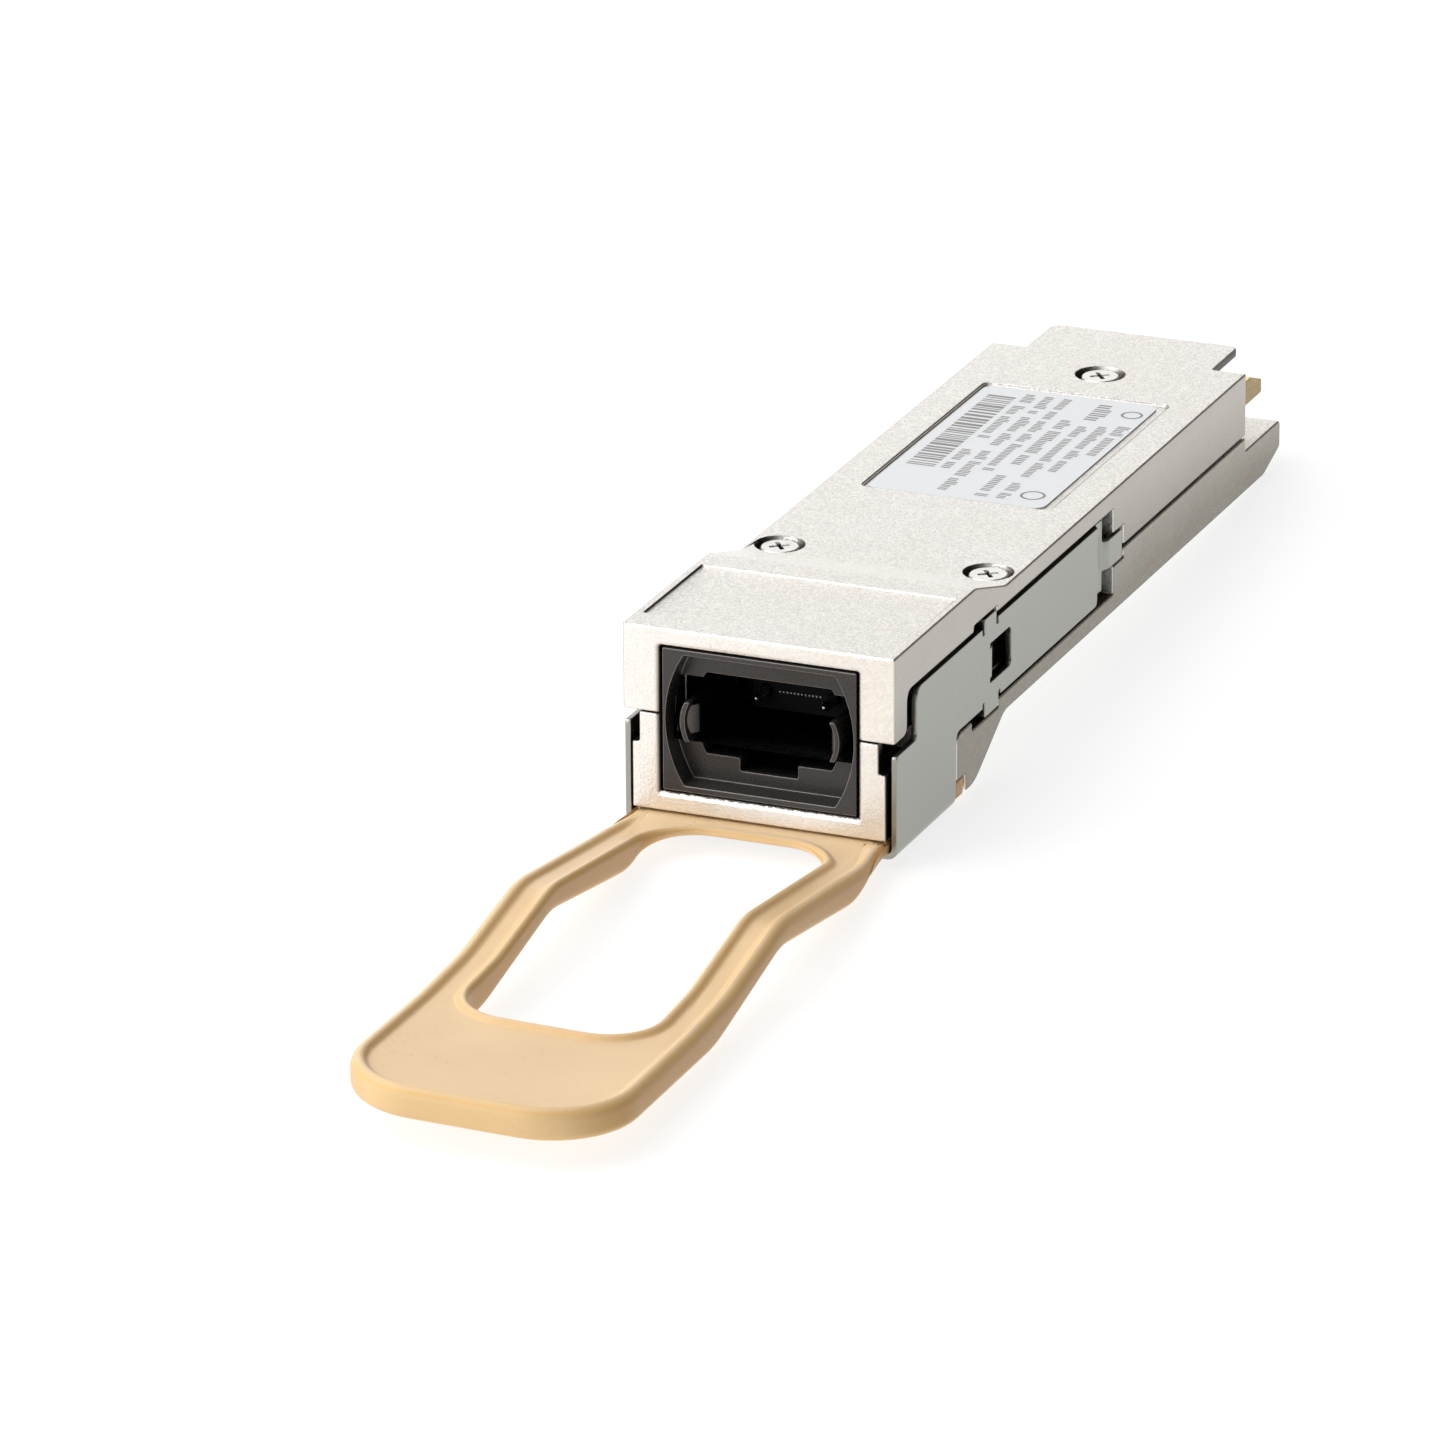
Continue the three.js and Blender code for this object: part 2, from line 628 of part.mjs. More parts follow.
function pullTab() {
  const sideView = tabSideView();
  const rootPlan = outline([
    [-TAB_ROOT_HALF, 1],
    [-TAB_ROOT_HALF, -0.4, 0.6],
    [-TAB_HALF, -4.5, 2],
    [-TAB_HALF, TAB_TIP, TAB_TIP_CORNER],
    [TAB_HALF, TAB_TIP, TAB_TIP_CORNER],
    [TAB_HALF, -4.5, 2],
    [TAB_ROOT_HALF, -0.4, 0.6],
    [TAB_ROOT_HALF, 1],
  ]);
  const hole = roundedRectangle([-TAB_HOLE_HALF, TAB_HOLE_HALF], [-33.8, -1.6], 3.4);
  const root = centredBlock(8.45, [0.5, 10.5], [-6, 0]);
  const lug = centredBlock(9.1, [10.75, 12.05], [-6, 0]);
  const lugNeck = centredBlock(8.45, [10, 11], [-6, 0]);
  const plan = join(prism(rootPlan, 'z', [-6, 0]), root, lugNeck, lug);
  const slab = prism(sideView, 'x', [-TAB_HALF, TAB_HALF]).intersect(plan);

  // The floor between the outer rim and the rim round the hole.
  const inner = TAB_HALF - TAB_RIM;
  const floorPlan = outline([
    [-inner, -2.2, 2],
    [inner, -2.2, 2],
    [inner, TAB_TIP + TAB_RIM, TAB_TIP_CORNER - TAB_RIM],
    [-inner, TAB_TIP + TAB_RIM, TAB_TIP_CORNER - TAB_RIM],
  ]);
  const holeRim = roundedRectangle([-6.95, 6.95], [-34.7, -0.6], 3.9);
  const floorZone = cut(prism(floorPlan, 'z', [-6, 0]), prism(holeRim, 'z', [-6, 0]));
  const trough = cut(floorZone, loweredTab(sideView));
  const posts = [-5, 0, 5].map((x) => post(x, 5.5, 1.15, [FRAME_BOTTOM, -2.6]));
  const lugFoot = centredBlock(9.1, [10.75, 12.05], [-3.1, -1.95]);
  return cut(slab, prism(hole, 'z', [-6, 0]), trough).add(join(...posts, lugFoot));
}

// Everything that lies below the trough's floor.
function loweredTab(sideView) {
  const lowered = sideView.getPoints(CURVE_STEPS).map((p) => p.sub(new THREE.Vector2(0, TAB_FLOOR_DEPTH)));
  return prism(new THREE.Shape(lowered), 'x', [-TAB_HALF - BEYOND, TAB_HALF + BEYOND]);
}

// Return spring between the housing and the latch frame's seat.
class Helix extends THREE.Curve {
  getPoint(t, target = new THREE.Vector3()) {
    const angle = 2 * Math.PI * SPRING_TURNS * t;
    const y = THREE.MathUtils.lerp(SPRING_FRONT + SPRING_WIRE, SPRING_REAR - SPRING_WIRE, t);
    return target.set(
      SPRING_X + SPRING_COIL * Math.cos(angle),
      y,
      SPRING_Z + SPRING_COIL * Math.sin(angle),
    );
  }
}

function latchSpring() {
  const sides = 6;
  const corners = Array.from({ length: sides }, (_, i) => {
    const angle = (2 * Math.PI * i) / sides;
    return new THREE.Vector2(SPRING_WIRE * Math.cos(angle), SPRING_WIRE * Math.sin(angle));
  });
  return solid(new THREE.ExtrudeGeometry(new THREE.Shape(corners), {
    steps: SPRING_TURNS * 10,
    bevelEnabled: false,
    extrudePath: new Helix(),
  }));
}

// ---- Fibre socket ----

function fibreSocket() {
  const flange = centredBlock(6.55, [0.12, 3.05], [-0.78, 8.73]);
  const core = centredBlock(6, [2.5, 14.2], [-0.18, 8.18]);
  const mouth = prism(bulgedOutline(5.1, 6.35, [-0.35, 8.35]), 'y', [-BEYOND, 1.75]);
  const throat = prism(bulgedOutline(4.25, 4.9, [1.4, 6.8]), 'y', [0, 9]);
  const keyway = centredBlock(1.95, [0, 9], [0.52, 2]);
  const armSlots = centredBlock(6.2, [1, 9.5], [2.35, 6.45]);
  const ferruleBore = centredBlock(3.35, [8, 15], [FERRULE_Z - 1.35, FERRULE_Z + 1.35]);
  const gasketGroove = cut(
    centredBlock(7, [10.6, 12], [-1, 9]),
    centredBlock(5.4, [10, 12.5], [0.3, 7.7]),
  );
  return cut(flange.add(core), mouth, throat, keyway, armSlots, ferruleBore, gasketGroove);
}

// A thin sprung arm beside the throat, curved as the mouth is; the barb near its end holds the
// cable's plug. It flexes about its root.
function socketLatch() {
  const height = [2.6, 5.25];
  const bulge = 0.35;
  const outside = prism(bulgedOutline(5.05, 5.05 + bulge, height), 'y', [0.15, 8.8]);
  const inside = prism(bulgedOutline(4.7, 4.7 + bulge, height), 'y', [-BEYOND, 10]);
  const rightHalf = block([0, BODY_HALF], [-BEYOND, 10], [0, BODY_TOP]);
  const barb = prism(outline([
    [5.1, 0.4],
    [5.1, 1.9],
    [4.45, 1.7],
    [4.45, 1.25],
  ]), 'z', [2.95, 4.9]);
  const root = post(5.22, 8.85, 0.42, height, 16);
  return join(cut(outside, inside).intersect(rightHalf), barb, root);
}

function ferrule() {
  const body = centredBlock(3.2, [7, 15], [FERRULE_Z - 1.22, FERRULE_Z + 1.22]);
  const flange = centredBlock(3.8, [14.5, 15.8], [FERRULE_Z - 1.5, FERRULE_Z + 1.5]);
  const fibreSlot = centredBlock(1.75, [12.4, 17], [FERRULE_Z - 0.32, FERRULE_Z + 0.32]);
  const pinHoles = [-PIN_X, PIN_X].map((x) => rod(x, FERRULE_Z, PIN_HOLE_RADIUS, [6, 17]));
  return cut(body.add(flange), fibreSlot, ...pinHoles);
}

function guidePin() {
  const tip = 0.25;
  const profile = [
    [0, 5.2],
    [PIN_RADIUS - tip, 5.2],
    [PIN_RADIUS, 5.2 + 2 * tip],
    [PIN_RADIUS, 16.9],
    [0, 16.9],
  ].map(([radius, height]) => new THREE.Vector2(radius, height));
  const geometry = new THREE.LatheGeometry(profile, 12);
  geometry.translate(PIN_X, 0, FERRULE_Z);
  return solid(geometry);
}

function pinKeeper() {
  const plate = centredBlock(3.8, [16, 17.2], [FERRULE_Z - 1.3, FERRULE_Z + 1.3]);
  const fibreSlot = centredBlock(1.75, [15, 18], [FERRULE_Z - 0.32, FERRULE_Z + 0.32]);
  const pinHoles = [-PIN_X, PIN_X].map((x) => rod(x, FERRULE_Z, PIN_HOLE_RADIUS, [15, 18]));
  return cut(plate, fibreSlot, ...pinHoles);
}

function gasket() {
  return cut(
    centredBlock(6.02, [10.8, 11.8], [-0.2, 8.2]),
    centredBlock(5.5, [10, 12.5], [0.2, 7.8]),
  );
}

// ---- Optical engine and circuit board ----

// Twelve-fibre ribbon with a slight bow between the ferrule and the lens block.
function fibreRibbon() {
  const half = 0.13;
  const steps = 16;
  const height = (t) => FERRULE_Z - 0.9 * Math.sin(Math.PI * t) ** 2;
  const upper = [[12.7, FERRULE_Z + half]];
  const lower = [[12.7, FERRULE_Z - half]];
  for (let i = 0; i <= steps; i += 1) {
    const t = i / steps;
    const y = THREE.MathUtils.lerp(17.4, 26.3, t);
    upper.push([y, height(t) + half]);
    lower.push([y, height(t) - half]);
  }
  upper.push([28, FERRULE_Z + half]);
  lower.push([28, FERRULE_Z - half]);
  return prism(outline([...upper, ...lower.reverse()]), 'x', [-1.55, 1.55]);
}

function lensBlock() {
  const block45 = prism(outline([
    [26.7, 3.3],
    [30.2, 3.3],
    [31, 4.1],
    [31, 4.92],
    [26.7, 4.92],
  ]), 'x', [-2.9, 2.9]);
  const fibreSlot = centredBlock(1.75, [26, 28.3], [FERRULE_Z - 0.32, FERRULE_Z + 0.32]);
  const mirror = prism(outline([[28.9, 3], [29.7, 3], [28.9, 3.9]]), 'x', [-1.75, 1.75]);
  return cut(block45, fibreSlot, mirror);
}

function circuitBoard() {
  const step = 42.9;
  const plan = outline([
    [-7.6, 24.4, 0.4],
    [7.6, 24.4, 0.4],
    [7.6, step],
    [CARD_HALF, step + 0.6],
    [CARD_HALF, CARD_REAR, 0.2],
    [-CARD_HALF, CARD_REAR, 0.2],
    [-CARD_HALF, step + 0.6],
    [-7.6, step],
  ]);
  const bevel = 0.25;
  const sideView = outline([
    [24, CARD_BOTTOM],
    [CARD_REAR - bevel, CARD_BOTTOM],
    [CARD_REAR, CARD_BOTTOM + bevel],
    [CARD_REAR, CARD_TOP - bevel],
    [CARD_REAR - bevel, CARD_TOP],
    [24, CARD_TOP],
  ]);
  const [screwX, screwY] = SCREWS.cover_screw_rear;
  return prism(plan, 'z', [CARD_BOTTOM - BEYOND, CARD_TOP + BEYOND])
    .intersect(prism(sideView, 'x', [-BODY_HALF, BODY_HALF]))
    .subtract(post(screwX, screwY, 1.3, [CARD_BOTTOM - BEYOND, CARD_TOP + BEYOND]));
}

// ---- Assembly ----

place('top_shell', topShell(), MATERIALS.nickel);
place('bottom_shell', bottomShell(), MATERIALS.nickel);
for (const [name, [x, y]] of Object.entries(SCREWS)) {
  place(name, coverScrew(x, y), MATERIALS.stainless);
}
place('product_label', productLabel(), MATERIALS.label);

place('latch_slider', latchSlider(), MATERIALS.stainless);
place('pull_tab', pullTab(), MATERIALS.tab);
const spring = latchSpring();
place('latch_spring_right', spring, MATERIALS.springSteel);
place('latch_spring_left', mirrored(spring), MATERIALS.springSteel);

place('fibre_socket', fibreSocket(), MATERIALS.socket);
const hook = socketLatch();
place('socket_latch_right', hook, MATERIALS.socket);
place('socket_latch_left', mirrored(hook), MATERIALS.socket);
place('mt_ferrule', ferrule(), MATERIALS.ferrule);
const pin = guidePin();
place('guide_pin_right', pin, MATERIALS.pin);
place('guide_pin_left', mirrored(pin), MATERIALS.pin);
place('pin_keeper', pinKeeper(), MATERIALS.keeper);
place('emi_gasket', gasket(), MATERIALS.gasket);
place('fibre_ribbon', fibreRibbon(), MATERIALS.ribbon);

const underCard = CARD_BOTTOM - 0.04;
const onCard = CARD_TOP + 0.04;
place('lens_block', lensBlock(), MATERIALS.lens);
place('vcsel_array', block([-2.5, -0.4], [28.2, 28.6], [underCard - 0.15, underCard]), MATERIALS.die);
place('photodiode_array', block([0.4, 2.5], [28.2, 28.6], [underCard - 0.15, underCard]), MATERIALS.die);
place('laser_driver_ic', block([-3.1, -0.3], [31.4, 34], [underCard - 0.35, underCard]), MATERIALS.die);
place('receiver_ic', block([0.3, 3.1], [31.4, 34], [underCard - 0.35, underCard]), MATERIALS.die);
place('circuit_board', circuitBoard(), MATERIALS.laminate);
place('microcontroller', block([-5.5, -0.5], [45, 50], [onCard, onCard + 0.85]), MATERIALS.package);
place('power_inductor', block([2.5, 5], [46, 48.5], [onCard, onCard + 1]), MATERIALS.package);
[[2, 51.5], [4, 51.5], [6, 51.5], [-4, 53]].forEach(([x, y], i) => {
  const chip = block([x, x + 1], [y, y + 0.5], [onCard, onCard + 0.5]);
  place(`capacitor_${i + 1}`, chip, MATERIALS.ceramic);
});
place('thermal_pad_top', centredBlock(4, [27, 35], [onCard, ROOF_INSIDE - 0.05]), MATERIALS.pad);
place('thermal_pad_bottom', centredBlock(3.3, [31.5, 34.2], [3.75, underCard - 0.4]), MATERIALS.pad);

// The origin goes to the middle of the bounding box's bottom.
moduleGroup.position.set(0, -(TAB_TIP + TONGUE_REAR_BOTTOM) / 2, -TAB_LOWEST);

export default moduleGroup;
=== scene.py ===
"""Looks of an optical transceiver module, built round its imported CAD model.

Lengths in the code are millimetres from the module's datum: X = 0 on the centre plane, Y = 0 on
the nose's front face and Z = 0 on the underside of the body. at() turns them into metres in the
model's frame.
"""
import math
import random

import bmesh
import bpy
from mathutils import Matrix, Vector


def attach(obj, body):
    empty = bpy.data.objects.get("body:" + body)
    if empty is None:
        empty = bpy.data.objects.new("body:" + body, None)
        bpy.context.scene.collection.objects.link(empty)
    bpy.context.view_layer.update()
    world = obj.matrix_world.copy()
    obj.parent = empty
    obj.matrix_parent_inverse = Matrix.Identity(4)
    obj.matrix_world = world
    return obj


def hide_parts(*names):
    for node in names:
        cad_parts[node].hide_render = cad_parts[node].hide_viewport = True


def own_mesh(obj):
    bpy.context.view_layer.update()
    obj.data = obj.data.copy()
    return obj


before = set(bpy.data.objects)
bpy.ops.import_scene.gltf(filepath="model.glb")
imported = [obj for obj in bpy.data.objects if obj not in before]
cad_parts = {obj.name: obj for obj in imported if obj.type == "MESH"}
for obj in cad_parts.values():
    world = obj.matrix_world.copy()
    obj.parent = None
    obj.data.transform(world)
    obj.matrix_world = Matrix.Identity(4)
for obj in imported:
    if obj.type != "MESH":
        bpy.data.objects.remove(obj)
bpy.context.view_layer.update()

MM = 0.001
DATUM = Vector((0, -12.8, 4.8))

LABEL_TOP = 8.4
CARD_TOP = 6.25
CARD_BOTTOM = 5.25
CARD_REAR = 70.75
WEB_REAR = 10.55
SPRING_X = 7.6
SPRING_Z = 4.15
SPRING_FRONT = 9.1
SPRING_REAR = 17.5
SPRING_COIL = 0.75
SPRING_WIRE = 0.13
SPRING_TURNS = 6.5
MASK_REAR = 65.4
CONTACT_FRONT = 66.2
CONTACT_COUNT = 19
CONTACT_PITCH = 0.8
CONTACT_WIDTH = 0.56
CONTACT_THICKNESS = 0.03
LONG_CONTACT_MARGIN = 0.4
SHORT_CONTACT_MARGIN = 0.75
TONGUE_FRONT = 64.5
FERRULE_FACE = 7.0
FERRULE_Z = 4.1
FIBRE_COUNT = 12
FIBRE_PITCH = 0.25
FIBRE_RADIUS = 0.0625

TAB_HALF = 9.1
TAB_ROOT_HALF = 8.6
TAB_ROOT_CORNER = 0.4
TAB_FRONT = 1.0
TAB_TIP = -46.3
TAB_CORNER = 5.65
HOLE_HALF = 6.1
HOLE_FRONT = -1.6
HOLE_REAR = -33.8
HOLE_CORNER = 3.4


def at(x, y, z):
    """A point in the model's frame, in metres, from millimetres at the module's datum."""
    return (Vector((x, y, z)) + DATUM) * MM


def smoothstep(low, high, value):
    t = min(max((value - low) / (high - low), 0), 1)
    return t * t * (3 - 2 * t)


# ---- Materials ----


class Material:
    """A Principled material with short calls for its nodes."""

    def __init__(self, name, **sockets):
        self.material = bpy.data.materials.new(name)
        self.material.use_nodes = True
        self.tree = self.material.node_tree
        self.shader = self.tree.nodes["Principled BSDF"]
        for key, value in sockets.items():
            self.set(key.replace("_", " "), value)

    def set(self, key, value):
        socket = self.shader.inputs[key]
        if isinstance(value, bpy.types.NodeSocket):
            self.tree.links.new(value, socket)
        elif socket.type == "RGBA":
            socket.default_value = (*value, 1)
        else:
            socket.default_value = value

    def add(self, kind, inputs, **settings):
        node = self.tree.nodes.new("ShaderNode" + kind)
        for key, value in settings.items():
            setattr(node, key, value)
        for key, value in inputs.items():
            if isinstance(value, bpy.types.NodeSocket):
                self.tree.links.new(value, node.inputs[key])
            else:
                node.inputs[key].default_value = value
        return node

    def position(self, stretch=(1, 1, 1)):
        """Object coordinates in millimetres, scaled along each axis."""
        coordinates = self.add("TexCoord", {}).outputs["Object"]
        scale = [s / MM for s in stretch]
        return self.add("Mapping", {"Vector": coordinates, "Scale": scale}).outputs[0]

    def noise(self, size, detail=2.0, stretch=(1, 1, 1)):
        """Cloudy values about 0.5, with features of that size in millimetres."""
        inputs = {"Vector": self.position(stretch), "Scale": 1 / size, "Detail": detail}
        return self.add("TexNoise", inputs).outputs["Fac"]

    def grains(self, size):
        """One random value for each cell of that size in millimetres."""
        inputs = {"Vector": self.position(), "Scale": 1 / size}
        colour = self.add("TexVoronoi", inputs).outputs["Color"]
        return self.add("SeparateColor", {"Color": colour}).outputs["Red"]

    def normal_part(self, axis):
        """How far the surface faces along X, Y or Z, from -1 to 1."""
        normal = self.add("TexCoord", {}).outputs["Normal"]
        return self.add("SeparateXYZ", {"Vector": normal}).outputs[axis]

    def place_part(self, axis):
        return self.add("SeparateXYZ", {"Vector": self.position()}).outputs[axis]

    def math(self, operation, a, b=0.0):
        return self.add("Math", {0: a, 1: b}, operation=operation).outputs[0]

    def remap(self, value, source, target):
        inputs = {
            "Value": value,
            "From Min": source[0],
            "From Max": source[1],
            "To Min": target[0],
            "To Max": target[1],
        }
        return self.add("MapRange", inputs).outputs["Result"]

    def blend(self, factor, a, b):
        """Colour a where factor is 0 and b where it is 1."""
        node = self.add("Mix", {0: factor}, data_type="RGBA")
        for key, value in ((6, a), (7, b)):
            if isinstance(value, bpy.types.NodeSocket):
                self.tree.links.new(value, node.inputs[key])
            else:
                node.inputs[key].default_value = (*value, 1)
        return node.outputs[2]

    def bump(self, height, depth, below=None):
        """Relief of that depth in millimetres, laid over another bump."""
        inputs = {"Height": height, "Distance": depth * MM, "Strength": 1.0}
        if below is not None:
            inputs["Normal"] = below
        return self.add("Bump", inputs).outputs["Normal"]


# Colour of the painted shade and painted reflection laid on the nickel's edge roundings, side channels
# and ledges.
PAINTED_SHADE = (0.09, 0.075, 0.06)


def blasted_nickel():
    """Nickel plate over a blasted zinc casting: a fine sparkle on the top and calmer sides. Painted
    reflection of a shaded floor makes the sides darker, most of all low down, and painted shade
    darkens the long edges, the side channels, the seam and the screw pockets."""
    m = Material("blasted_nickel", Metallic=1.0)
    grain = m.noise(0.16, 3.0)
    pits = m.grains(0.13)
    clouds = m.noise(9.0, 3.0)
    side = m.remap(m.math("ABSOLUTE", m.normal_part("X")), (0.3, 0.9), (0, 1))
    upward = m.remap(m.math("ABSOLUTE", m.normal_part("Z")), (0.5, 0.9), (0, 1))
    relief = m.math("ADD", grain, m.math("MULTIPLY", pits, 0.3))
    calm = m.math("MULTIPLY", m.remap(side, (0, 1), (1.0, 0.2)), m.remap(upward, (0, 1), (0.45, 1)))
    m.set("Normal", m.bump(m.math("MULTIPLY", relief, calm), 0.085))
    m.set("Roughness", m.remap(m.math("ADD", pits, clouds), (0.3, 1.7), (0.3, 0.44)))
    cloudy = m.remap(clouds, (0.3, 0.7), (0, 1))
    # Painted reflection: the sides get darker copies of the plate's colour, darker still towards the
    # bottom.
    front = m.blend(cloudy, (0.94, 0.915, 0.87), (0.98, 0.96, 0.925))
    upper = m.blend(cloudy, (0.47, 0.445, 0.4), (0.53, 0.505, 0.46))
    lower = m.blend(cloudy, (0.25, 0.228, 0.186), (0.3, 0.278, 0.23))
    height = m.remap(m.place_part("Z"), (DATUM.z + 1.0, DATUM.z + 7.5), (1, 0))
    tone = m.blend(side, front, m.blend(height, upper, lower))
    shade = m.math("MULTIPLY", m.remap(pits, (0, 1), (0.46, 0)), m.remap(upward, (0, 1), (0.35, 1)))
    tone = m.blend(shade, tone, (0.45, 0.42, 0.39))
    # Painted reflection darkens the roundings between top and sides; painted shade darkens the walls
    # sunk in the side channels and the upward ledges below the top.
    corner = m.math("ABSOLUTE", m.math("MULTIPLY", m.normal_part("X"), m.normal_part("Z")))
    inward = m.remap(m.math("ABSOLUTE", m.place_part("X")), (8.8, 9.1), (1, 0))
    sunk = m.math("MULTIPLY", inward, side)
    level = m.place_part("Z")
    low = m.remap(level, (DATUM.z + 0.3, DATUM.z + 0.5), (0, 1))
    below_top = m.remap(level, (DATUM.z + 8.0, DATUM.z + 8.2), (1, 0))
    ahead = m.math("LESS_THAN", m.place_part("Y"), TONGUE_FRONT + DATUM.y)
    shelf = m.math("MULTIPLY", m.math("MULTIPLY", low, below_top), m.math("MULTIPLY", ahead, upward))
    painted_shade = m.math("MAXIMUM", m.remap(corner, (0.15, 0.42), (0, 0.85)), m.math("MAXIMUM", sunk, shelf))
    m.set("Base Color", m.blend(painted_shade, tone, PAINTED_SHADE))
    return m.material


def satin_sheet():
    """Stainless sheet, rolled smooth, with faint lines along the module."""
    m = Material("satin_stainless", Metallic=1.0)
    lines = m.noise(0.2, 2.0, (1, 0.05, 1))
    clouds = m.noise(6.0, 2.0)
    # The colour is kept dark as a painted reflection of a shaded floor beside the module.
    m.set("Base Color", m.blend(clouds, (0.33, 0.33, 0.298), (0.38, 0.38, 0.345)))
    m.set("Roughness", m.remap(clouds, (0.3, 0.7), (0.26, 0.34)))
    m.set("Normal", m.bump(lines, 0.0003))
    return m.material


def bright_steel(name, colour, roughness, dark_below=None):
    """Bright plated steel, with painted shade below a height in millimetres, down in its pocket."""
    m = Material(name, Metallic=1.0)
    tone = m.blend(m.noise(1.0, 2.0), colour, [c * 0.92 for c in colour])
    if dark_below is not None:
        # Painted shade: the part down in the pocket is darkened.
        level = dark_below + DATUM.z
        depth = m.remap(m.place_part("Z"), (level - 0.05, level + 0.05), (1, 0))
        tone = m.blend(depth, tone, (0.1, 0.085, 0.07))
    m.set("Base Color", tone)
    scuffs = m.noise(0.3, 3.0)
    m.set("Roughness", m.remap(scuffs, (0.3, 0.7), (roughness * 0.8, roughness * 1.3)))
    m.set("Normal", m.bump(scuffs, 0.008))
    return m.material


def tab_elastomer():
    """Beige moulded elastomer: satin and faintly grained, with painted shade on the flanks in deeper
    colours.
    """
    m = Material("tab_elastomer", IOR=1.45, Specular_IOR_Level=0.32)
    clouds = m.noise(7.0, 3.0)
    grain = m.noise(0.22, 3.0)
    # Painted shade: steep faces get a deeper, more saturated colour and walls facing sideways the
    # darkest.
    steep = m.remap(m.math("ABSOLUTE", m.normal_part("Z")), (0.5, 0.97), (1, 0))
    pale = m.blend(m.remap(clouds, (0.3, 0.7), (0, 1)), (0.76, 0.535, 0.3), (0.83, 0.6, 0.35))
    sideways = m.remap(m.math("ABSOLUTE", m.normal_part("X")), (0.5, 0.95), (0, 1))
    wall = m.remap(m.math("ABSOLUTE", m.normal_part("Z")), (0.3, 0.65), (1, 0))
    shaded_walls = m.blend(sideways, (0.77, 0.53, 0.27), (0.62, 0.37, 0.145))
    base = m.blend(steep, pale, m.blend(wall, (0.76, 0.48, 0.185), shaded_walls))
    speck = m.remap(grain, (0.62, 0.75), (0, 0.3))
    m.set("Base Color", m.blend(speck, base, (0.66, 0.43, 0.2)))
    m.set("Roughness", m.remap(m.math("ADD", clouds, grain), (0.7, 1.3), (0.27, 0.38)))
    m.set("Normal", m.bump(grain, 0.012))
    return m.material


# How much paler than the plastic the painted highlight on its edge roundings is.
PAINTED_EDGE_GLINT = 9


def moulded_plastic(name, colour, roughness, relief=0.012, dark_range=None, gloss=0.5):
    """Glass-filled plastic: fine grain with short fibre marks, and paler edges as painted highlight.
    Over dark_range, two places along the module in millimetres, it darkens to the rear as painted
    shade deep inside."""
    m = Material(name, IOR=1.52, Specular_IOR_Level=gloss)
    grain = m.noise(0.15, 3.0)
    fibres = m.noise(0.1, 2.0, (1, 0.2, 1))
    pale = [c * 1.6 + 0.01 for c in colour]
    tone = m.blend(m.remap(fibres, (0.6, 0.75), (0, 0.6)), colour, pale)
    # Painted highlight on roundings turned halfway from the front.
    turned = m.math("SUBTRACT", m.math("ABSOLUTE", m.normal_part("Y")), 0.707)
    edge = m.remap(m.math("ABSOLUTE", turned), (0.08, 0.25), (1, 0))
    tone = m.blend(edge, tone, [c * PAINTED_EDGE_GLINT for c in colour])
    # Painted shade: deeper in, the plastic turns nearly black.
    if dark_range:
        places = [place + DATUM.y for place in dark_range]
        deep = m.remap(m.place_part("Y"), places, (0, 0.93))
        tone = m.blend(deep, tone, (0.002, 0.002, 0.002))
    m.set("Base Color", tone)
    m.set("Roughness", m.remap(grain, (0.3, 0.7), (roughness - 0.06, roughness + 0.08)))
    m.set("Normal", m.bump(grain, relief))
    return m.material


def label_film():
    m = Material("label_film", IOR=1.5)
    fleck = m.noise(0.35, 3.0)
    m.set("Base Color", m.blend(fleck, (0.72, 0.74, 0.77), (0.79, 0.8, 0.82)))
    m.set("Roughness", m.remap(fleck, (0.3, 0.7), (0.34, 0.46)))
    m.set("Normal", m.bump(m.noise(2.5, 1.0), 0.01))
    return m.material


def label_ink():
    m = Material("label_ink", IOR=1.45)
    fade = m.noise(0.3, 3.0)
    m.set("Base Color", m.blend(fade, (0.2, 0.195, 0.19), (0.34, 0.335, 0.33)))
    m.set("Roughness", m.remap(fade, (0.3, 0.7), (0.5, 0.65)))
    return m.material


def card_laminate():
    """Solder mask above and below with the copper's relief under it, and bare laminate on the
    edges and between the rear contacts."""
    m = Material("card_laminate", IOR=1.5)
    facing = m.math("ABSOLUTE", m.normal_part("Z"))
    tracks = m.add("TexBrick", {
        "Vector": m.position(),
        "Scale": 0.9,
        "Color1": (1, 1, 1, 1),
        "Color2": (0.6, 0.6, 0.6, 1),
        "Mortar": (0, 0, 0, 1),
        "Mortar Size": 0.03,
    }).outputs["Fac"]
    weave = m.noise(0.25, 2.0)
    mask = m.blend(tracks, (0.02, 0.13, 0.055), (0.035, 0.2, 0.085))
    edge = m.blend(weave, (0.56, 0.4, 0.19), (0.7, 0.52, 0.27))
    ahead = m.math("LESS_THAN", m.place_part("Y"), MASK_REAR + DATUM.y)
    masked = m.math("MULTIPLY", m.remap(facing, (0.6, 0.8), (0, 1)), ahead)
    m.set("Base Color", m.blend(masked, edge, mask))
    m.set("Roughness", m.remap(masked, (0, 1), (0.6, 0.28)))
    m.set("Normal", m.bump(tracks, 0.02))
    return m.material


